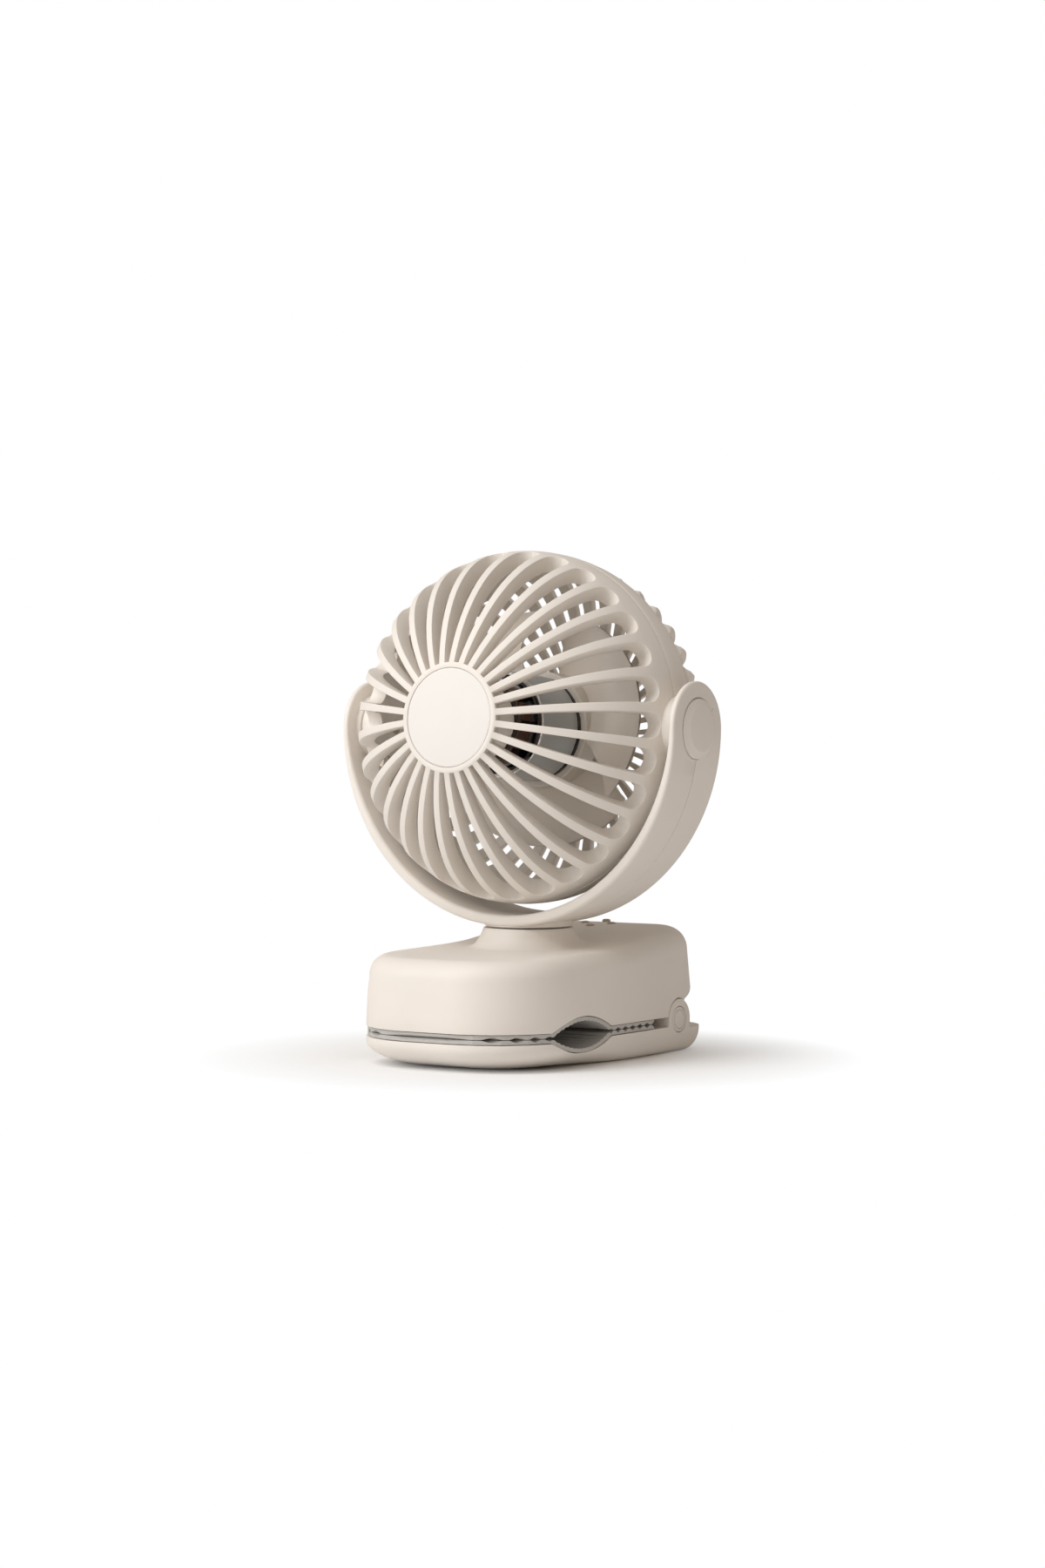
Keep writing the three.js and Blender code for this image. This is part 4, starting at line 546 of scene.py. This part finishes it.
def yoke_half_skin(name, way):
    """The band's section swept round under the head, then round each arm end."""
    seam = 0.15
    middle = yoke_outer - yoke_wall / 2
    bpy.ops.object.select_all(action="DESELECT")
    bpy.ops.mesh.primitive_plane_add(
        size=1, location=(middle * mm, way * (seam + yoke_half) / 2 * mm, pivot_z * mm))
    piece = bpy.context.object
    piece.name = name
    piece.scale = (yoke_wall * mm, (yoke_half - seam) * mm, 1)
    bpy.ops.object.transform_apply(location=True, rotation=True, scale=True)
    for reach, size, steps in ((yoke_half, 1.6, 5), (seam, 0.15, 1)):
        bpy.ops.object.mode_set(mode="EDIT")
        bpy.ops.mesh.select_mode(type="VERT")
        bpy.ops.mesh.select_all(action="DESELECT")
        bpy.ops.object.mode_set(mode="OBJECT")
        for corner in piece.data.vertices:
            corner.select = abs(abs(corner.co.y) - reach * mm) < 1e-6
        bpy.ops.object.mode_set(mode="EDIT")
        bpy.ops.mesh.bevel(offset=size * mm, segments=steps, affect="VERTICES")
        bpy.ops.object.mode_set(mode="OBJECT")
    centre = (0, 0, pivot_z * mm)
    select_faces(piece, lambda place, normal: True)
    bpy.ops.mesh.spin(steps=72, angle=-math.pi, center=centre, axis=(0, 1, 0))
    bpy.ops.object.mode_set(mode="OBJECT")
    for side in (-1, 1):
        select_faces(piece, lambda place, normal: abs(place.z - pivot_z) < 0.01 and place.x * side > 0)
        bpy.ops.mesh.spin(steps=24, angle=-way * math.pi / 2, center=centre, axis=(1, 0, 0))
        bpy.ops.object.mode_set(mode="OBJECT")
    tidied(piece)
    for corner in piece.data.vertices:
        x, y, z = corner.co / mm
        level = z - pivot_z
        reach = abs(x) if level > 0 else math.hypot(x, level)
        inward = min(1, (yoke_outer - reach) / yoke_wall)
        thinner = arm_thinner * inward * min(1, max(0, (level + 55) / 50)) ** 2
        if thinner > 0:
            scale = (reach + thinner) / reach
            corner.co.x *= scale
            if level < 0:
                corner.co.z = (pivot_z + level * scale) * mm
    return piece


for word, way in (("front", -1), ("rear", 1)):
    half = yoke_half_skin("yoke_" + word + "_skin", way)
    tools = []
    for side in (-1, 1):
        tools.append(drum("cap_seat", (side * (yoke_outer + 3.6), 0, pivot_z), cap_seat_radius, 10, "X", 96))
        tools.append(drum("stub_bore", (side * 78, 0, pivot_z), stub_bore_radius, 16, "X", 32))
    tools.append(drum("shaft_pocket", (0, 0, 50), 8.4, 12, "Z"))
    cut(half, *tools)
    softened(half, 0)
    half.data.materials.append(ivory)
    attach(half, "yoke")
    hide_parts("yoke_" + word)

# The boss under the band, which stands a hair above the neck.
yoke_boss = turned("yoke_boss", [
    (8.4, 52.95), (17.2, 52.95), (17.8, 53.3), (17.8, 55.6), (8.4, 55.6), (8.4, 52.95)], "Z", 96)
softened(yoke_boss, 0)
yoke_boss.data.materials.append(ivory)
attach(yoke_boss, "yoke")

# A low round boss inside each arm, round the tilt pivot.
for side, word in ((1, "right"), (-1, "left")):
    ring = turned("arm_boss_" + word, [(r, side * x) for r, x in (
        (5.6, 77.2), (5.6, 74.4), (12.7, 74.4), (13.1, 74.6), (13.3, 75.0), (13.3, 77.2),
        (5.6, 77.2))], "X")
    moved(ring, 0, 0, pivot_z)
    softened(ring, 0)
    ring.data.materials.append(ivory)
    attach(ring, "yoke")

# ---------------------------------------------------------------- pivot caps
# A round cap on each arm that hides the tilt pivot: a thin rim, a slope and
# a flat face that stands a little proud.
for side, word in ((1, "right"), (-1, "left")):
    x0 = yoke_outer - 0.2
    cap = turned("pivot_cap_" + word + "_skin", [(r, side * x) for r, x in (
        (0, x0 - 1.1), (11.9, x0 - 1.1), (11.9, x0 + 0.55), (11.7, x0 + 0.8), (11.4, x0 + 0.85),
        (9.5, x0 + 1.9), (9.2, x0 + 2.02), (8.8, x0 + 2.1), (0, x0 + 2.1))],
        "X", 96)
    moved(cap, 0, 0, pivot_z)
    softened(cap, 0)
    cap.data.materials.append(ivory)
    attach(cap, "yoke")
    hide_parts("pivot_cap_" + word)

# ---------------------------------------------------------------- front grille
# The domed front cage: ribs that curve back from the hub over a quarter
# ellipse and widen to the rim, with round scooped ends between them.
head_tilt = math.radians(4.5)
dome_radius, dome_depth, seam_y = 71.2, 56.0, -4.0


def in_head(piece):
    """Head pieces are drawn level about the pivot, then tilted and raised."""
    piece.data.transform(Matrix.Translation((0, 0, pivot_z * mm)) @ Matrix.Rotation(-head_tilt, 4, "X"))
    return piece


def cage_skin(name, rows, count, turn, columns=5):
    """One skin round a profile of rows {r, y, half, slot}, open between the ribs."""
    points, faces = [], []
    share = [2 * i / (columns - 1) - 1 for i in range(columns)]
    spot = lambda k, rib, c: (k * count + rib % count) * columns + c
    last = columns - 1
    for row in rows:
        for rib in range(count):
            middle = turn + 2 * math.pi * rib / count
            for s in share:
                t = middle + s * row["half"]
                crown = row.get("crown", 0) * (1 - s * s)
                r = row["r"] + crown * row.get("out", (0, 0))[0]
                y = row["y"] + crown * row.get("out", (0, 0))[1]
                points.append((r * math.cos(t), y, r * math.sin(t)))
    for k in range(len(rows) - 1):
        opened = rows[k]["slot"] and rows[k + 1]["slot"]
        for rib in range(count):
            for c in range(columns - 1):
                faces.append((spot(k, rib, c), spot(k, rib, c + 1),
                              spot(k + 1, rib, c + 1), spot(k + 1, rib, c)))
            if not opened:
                faces.append((spot(k, rib, last), spot(k, rib + 1, 0),
                              spot(k + 1, rib + 1, 0), spot(k + 1, rib, last)))
    slots = [k for k, row in enumerate(rows) if row["slot"]]
    for n in range(len(slots) // 2 - 1):
        k, m = slots[n], slots[-1 - n]
        for rib in range(count):
            for c in (0, last):
                faces.append((spot(k, rib, c), spot(m, rib, c), spot(m - 1, rib, c), spot(k + 1, rib, c)))
    for rib in range(count):
        faces.append((spot(slots[0], rib, last), spot(slots[0], rib + 1, 0),
                      spot(slots[-1], rib + 1, 0), spot(slots[-1], rib, last)))
    return tidied(modelled(name, points, faces), 0.004)


def on_ellipse(radius, depth, start, way, degrees, power=2.0):
    """Radius and Y of a place on the dome; a power over 2 makes it squarer."""
    t = math.radians(degrees)
    return radius * math.sin(t) ** (2 / power), start + way * depth * math.cos(t) ** (2 / power)


rib_count, rib_depth, hub_radius, disc_radius = 30, 6.5, 21.9, 19.5
boss_hole_radius = 10.8
pitch = math.pi / rib_count
hub_angle = math.degrees(math.asin(hub_radius / dome_radius))
outer_end, inner_end = 80.5, 80.0
front_outer = lambda d: on_ellipse(dome_radius, dome_depth, seam_y, -1, d)
front_inner = lambda d: on_ellipse(dome_radius - rib_depth, dome_depth - rib_depth, seam_y, -1, d)
hub_r, hub_y = front_outer(hub_angle)
hub_face = hub_y - 0.4


def front_rows(curve, final, hub_width, rim_width):
    """Rows of one side of the ribs, from the hub to the slot's round end."""
    widest = dome_radius * pitch - 1.9
    start = final - math.degrees(widest / dome_depth)
    rows = []
    for i in range(15):
        d = hub_angle + (start - hub_angle) * i / 14
        r, y = curve(d)
        width = hub_width + (rim_width - hub_width) * (i / 14) ** 1.2
        rows.append({"r": r, "y": y, "half": math.asin(width / 2 / r), "slot": True})
    plain = rows[-1]["half"]
    for i in range(1, 10):
        t = math.radians(90) * i / 9
        r, y = curve(start + (final - start) * math.sin(t))
        rows.append({"r": r, "y": y, "half": pitch - (pitch - plain) * math.cos(t), "slot": True})
    return rows


outer_rows = front_rows(front_outer, outer_end, 2.6, 3.9)
inner_rows = front_rows(front_inner, inner_end, 1.9, 3.9)[::-1]
whole = lambda pairs, half: [{"r": r, "y": y, "half": half, "slot": False} for r, y in pairs]
rim = [front_outer(outer_end + (90 - outer_end) * k) for k in (0.2, 0.4, 0.6, 0.8, 0.97)]
rim += [(dome_radius - 0.25, seam_y), (68.8, seam_y), (68.8, seam_y - 2.5), (65.2, seam_y - 3.2)]
front_grille = cage_skin("front_grille_skin",
    whole([(0, hub_face + 1.7), (disc_radius + 0.15, hub_face + 1.7), (disc_radius + 0.15, hub_face + 0.25),
           (disc_radius + 0.3, hub_face + 0.06), (disc_radius + 0.6, hub_face),
           (hub_r - 1.0, hub_face), (hub_r - 0.4, hub_face + 0.1)], outer_rows[0]["half"])
    + outer_rows + whole(rim, pitch) + inner_rows
    + whole([(hub_r - 2, hub_face + 6.0), (0, hub_face + 6.0)], inner_rows[-1]["half"]), rib_count, pitch)
softened(front_grille, 0.75, 3, 42)
for side in (-1, 1):
    cut(front_grille, drum("boss_hole", (side * 70, 0, 0), boss_hole_radius, 24, "X"))
softened(front_grille, 0)
in_head(front_grille)
front_grille.data.materials.append(ivory)
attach(front_grille, "head")
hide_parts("front_grille")

# ---------------------------------------------------------------- hub disc
# The plain disc let into the front hub, a little paler than the cage, with a
# fine groove round it.
disc_plastic = moulded("disc_plastic", (0.84, 0.82, 0.79), 0.65)
hub_disc = turned("hub_disc_skin", [
    (0, hub_face + 0.12), (18.9, hub_face + 0.12), (19.3, hub_face + 0.17), (disc_radius, hub_face + 0.35),
    (disc_radius, hub_face + 1.4), (0, hub_face + 1.4)], "Y", 128)
softened(hub_disc, 0)
in_head(hub_disc)
hub_disc.data.materials.append(disc_plastic)
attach(hub_disc, "head")
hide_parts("hub_disc")

# ---------------------------------------------------------------- rear shell
# The back of the cage: a smooth band behind the seam, then forty broad ribs
# that curve in to a plain round plate.
rear_radius, rear_depth, rear_start, rear_power = 69.5, 34.5, 10.0, 2.6
rear_rib_count, rear_turn = 40, math.radians(2)
slot_at_hub, slot_at_rim = 1.2, 2.3
rear_pitch = math.pi / rear_rib_count
rear_outer = lambda d: on_ellipse(rear_radius - 2.6, rear_depth - 2.6, rear_start, 1, d, rear_power)
rear_inner = lambda d: on_ellipse(rear_radius - 5.4, rear_depth - 5.4, rear_start, 1, d, rear_power)
rear_hub = math.degrees(math.asin((28.0 / rear_radius) ** (rear_power / 2)))
rear_end = 82.0


def rear_rows(curve, extra, crown):
    """Rows of one side of the rear ribs, from the plate to the slot's round end."""
    rows = []
    start = rear_end - 3.4
    for i in range(13):
        d = rear_hub + (start - rear_hub) * i / 12
        r, y = curve(d)
        slot_half = slot_at_hub + (slot_at_rim - slot_at_hub) * min(1, (r - 24) / 40)
        t = math.radians(d)
        rows.append({"r": r, "y": y, "half": rear_pitch - (slot_half + extra) / r, "slot": True,
                     "crown": crown, "out": (math.sin(t), math.cos(t))})
    plain = rows[-1]["half"]
    for i in range(1, 9):
        t = math.radians(90) * i / 8
        d = start + (rear_end - start) * math.sin(t)
        r, y = curve(d)
        rows.append({"r": r, "y": y, "half": rear_pitch - (rear_pitch - plain) * math.cos(t), "slot": True,
                     "crown": crown * math.cos(t), "out": (1, 0)})
    return rows


outer_rows = rear_rows(rear_outer, 0.3, 2.6)
inner_rows = rear_rows(rear_inner, 0, 0)[::-1]
first = outer_rows[0]
band = [(rear_radius - 1.2, 12.6), (69.2, 11.4), (69.9, 9.5), (70.6, 6.5), (71.0, 3), (71.2, 0),
        (71.2, -3.55), (70.95, -3.7), (68.8, -3.7), (68.8, 6.5), (63.6, 12.0)]
rear_shell = cage_skin("rear_shell_skin",
    whole([(0, rear_start + rear_depth), (9, rear_start + rear_depth - 0.1),
           (9.4, rear_start + rear_depth - 0.5), (10.2, rear_start + rear_depth - 0.5),
           (10.6, rear_start + rear_depth - 0.15), (first["r"] - 3, first["y"] + 0.75),
           (first["r"] - 1, first["y"] + 0.5)], first["half"])
    + outer_rows + whole(band, rear_pitch) + inner_rows
    + whole([(0, inner_rows[-1]["y"])], inner_rows[-1]["half"]), rear_rib_count, rear_turn)
softened(rear_shell, 0.6, 2, 42)
for side in (-1, 1):
    cut(rear_shell, drum("boss_hole", (side * 70, 0, 0), boss_hole_radius, 24, "X"))
softened(rear_shell, 0)
in_head(rear_shell)
rear_shell.data.materials.append(ivory)
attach(rear_shell, "head")
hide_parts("rear_shell")

# ---------------------------------------------------------------- tilt bosses
# A round boss on each side of the head, between the cage and the arm, with
# the hollow stub that turns in the arm.
for side, word in ((1, "right"), (-1, "left")):
    boss = turned("trunnion_" + word + "_skin", [(r, side * x) for r, x in (
        (3, 65.6), (12.9, 65.6), (12.9, 73.3), (12.7, 73.7), (12.2, 73.95), (5, 73.95), (5, 77.5),
        (3, 77.5), (3, 65.6))], "X", 80)
    softened(boss, 0)
    in_head(boss)
    boss.data.materials.append(ivory)
    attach(boss, "head")
    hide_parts("trunnion_" + word)

# ---------------------------------------------------------------- impeller
# Three wide, swept blades on a cupped hub, moulded in one from a warm, pale
# plastic that lets a little light through.
blade_plastic = moulded("blade_plastic", (0.86, 0.79, 0.71), 0.3, 0.03, 0.0, 0.2)
blade_count, fan_front, fan_back, blade_root, blade_tip = 3, 6.2, 19.2, 22.6, 47.5
blade_start, blade_sweep, blade_span, blade_end_sweep = -12.5, 26.5, 97.5, 2.0
rings = []
for out in (0, 0.06, 0.13, 0.22, 0.32, 0.43, 0.55, 0.67, 0.79, 0.89, 0.96, 0.99, 1):
    r = blade_root + (blade_tip - blade_root) * out
    grow = min(1, 2 * out)
    grow = grow * grow * (3 - 2 * grow)
    front = (fan_front + 1) * (1 - grow) + 1.0 * grow
    rear = (fan_back - 1) * (1 - grow) + 18.0 * grow
    corner = 5 * max(0, (out - 0.86) / 0.14) ** 3
    start = blade_start - blade_sweep * out ** 1.6 + corner
    end = blade_start + blade_span - blade_end_sweep * out - corner
    face, back = [], []
    for i in range(29):
        u = i / 28
        t = math.radians(start + (end - start) * u)
        y = front + (rear - front) * (u + 0.12 * math.sin(math.pi * u))
        thick = 1.5 * (0.5 + 0.5 * math.sin(math.pi * u) ** 0.5) * (0.55 if out == 1 else 1)
        face.append((r * math.cos(t), y - thick / 2, r * math.sin(t)))
        back.append((r * math.cos(t), y + thick / 2, r * math.sin(t)))
    rings.append(face + back[::-1])
blades = []
for i in range(blade_count):
    blade = stacked("blade", rings)
    blade.data.transform(Matrix.Rotation(2 * math.pi * i / blade_count, 4, "Y"))
    blades.append(blade)
hub = turned("fan_hub", [
    (2.3, fan_front), (23.2, fan_front), (23.6, fan_front + 0.4), (23.6, fan_back - 2.4),
    (23.1, fan_back - 1), (21.6, fan_back), (19.8, fan_back - 1), (19.8, fan_front + 1.8),
    (7, fan_front + 1.8), (6, fan_front + 7), (2.3, fan_front + 7), (2.3, fan_front)], "Y", 96)
bpy.ops.object.select_all(action="DESELECT")
for piece in blades + [hub]:
    piece.select_set(True)
bpy.context.view_layer.objects.active = hub
bpy.ops.object.join()
impeller = bpy.context.object
impeller.name = "fan_impeller_skin"
softened(impeller, 0)
in_head(impeller)
impeller.data.materials.append(blade_plastic)
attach(impeller, "rotor")
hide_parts("fan_impeller")

# ---------------------------------------------------------------- motor can
# The grey plated cup that turns with the blades and carries the magnets, with
# a bright turned lip at its mouth.
can_steel = moulded("can_steel", (0.46, 0.48, 0.48), 0.35, 0.02, 0.3)
lip_steel = moulded("lip_steel", (0.75, 0.77, 0.78), 0.15, 0.01, 1.0)
motor_can = turned("motor_can_skin", [
    (20.1, -23.0), (21.2, -23.0), (21.5, -22.7), (21.5, -21.9), (21.3, -21.6), (21.3, -20.9), (21.5, -20.6),
    (21.5, 2.8), (21.2, 3.6), (20.3, 4.0), (2.3, 4.0), (2.3, 2.6), (20.1, 2.6), (20.1, -23.0)], "Y", 96)
softened(motor_can, 0)
in_head(motor_can)
motor_can.data.materials.append(can_steel)
motor_can.data.materials.append(lip_steel)
for face in motor_can.data.polygons:
    along = (face.center - Vector((0, 0, pivot_z * mm))).dot(
        Vector((0, math.cos(head_tilt), -math.sin(head_tilt)))) / mm
    if along < -21.5:
        face.material_index = 1
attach(motor_can, "rotor")
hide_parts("motor_can")

# ---------------------------------------------------------------- pieces kept as drawn
# Pads, pin, spring, board, cells and the motor's inner pieces keep their
# shapes and take their own finishes: rubber, steel, brass, copper, card.
rubber = moulded("pad_rubber", (0.52, 0.51, 0.49), 0.6, 0.25)
steel = moulded("turned_steel", (0.55, 0.57, 0.58), 0.3, 0.03, 1.0)
brass = moulded("turned_brass", (0.66, 0.49, 0.22), 0.3, 0.03, 1.0)
copper = moulded("copper_wire", (0.09, 0.035, 0.02), 0.4, 0.2, 0.5)
black = moulded("black_plastic", (0.02, 0.02, 0.021), 0.45)
board = moulded("board_lacquer", (0.03, 0.16, 0.07), 0.35)
wrap = moulded("cell_wrap", (0.07, 0.22, 0.40), 0.35)
phenolic = moulded("board_phenolic", (0.045, 0.028, 0.02), 0.45)
ferrite = moulded("magnet_ferrite", (0.04, 0.04, 0.045), 0.6, 0.1)
kept = {
    "upper_pad": rubber, "lower_pad": rubber, "jaw_plate": ivory, "lower_plate": ivory,
    "hinge_pin": steel, "jaw_spring": steel, "control_board": board, "usb_socket": steel,
    "cell_front": wrap, "cell_rear": wrap, "cell_tray": black, "swivel_washer": black,
    "swivel_shaft": steel, "swivel_nut": brass, "yoke_lead": black,
    "pivot_washer_right": black, "pivot_washer_left": black, "motor_pedestal": ivory,
    "motor_board": phenolic, "bearing_tube": brass, "stator_core": steel, "coils_front": copper,
    "coils_rear": copper, "magnet_ring": ferrite, "motor_shaft": steel, "can_ring": black,
}
for name, material in kept.items():
    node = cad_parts[name]
    node.data.materials.clear()
    node.data.materials.append(material)

bpy.context.scene.view_settings.view_transform = "Standard"
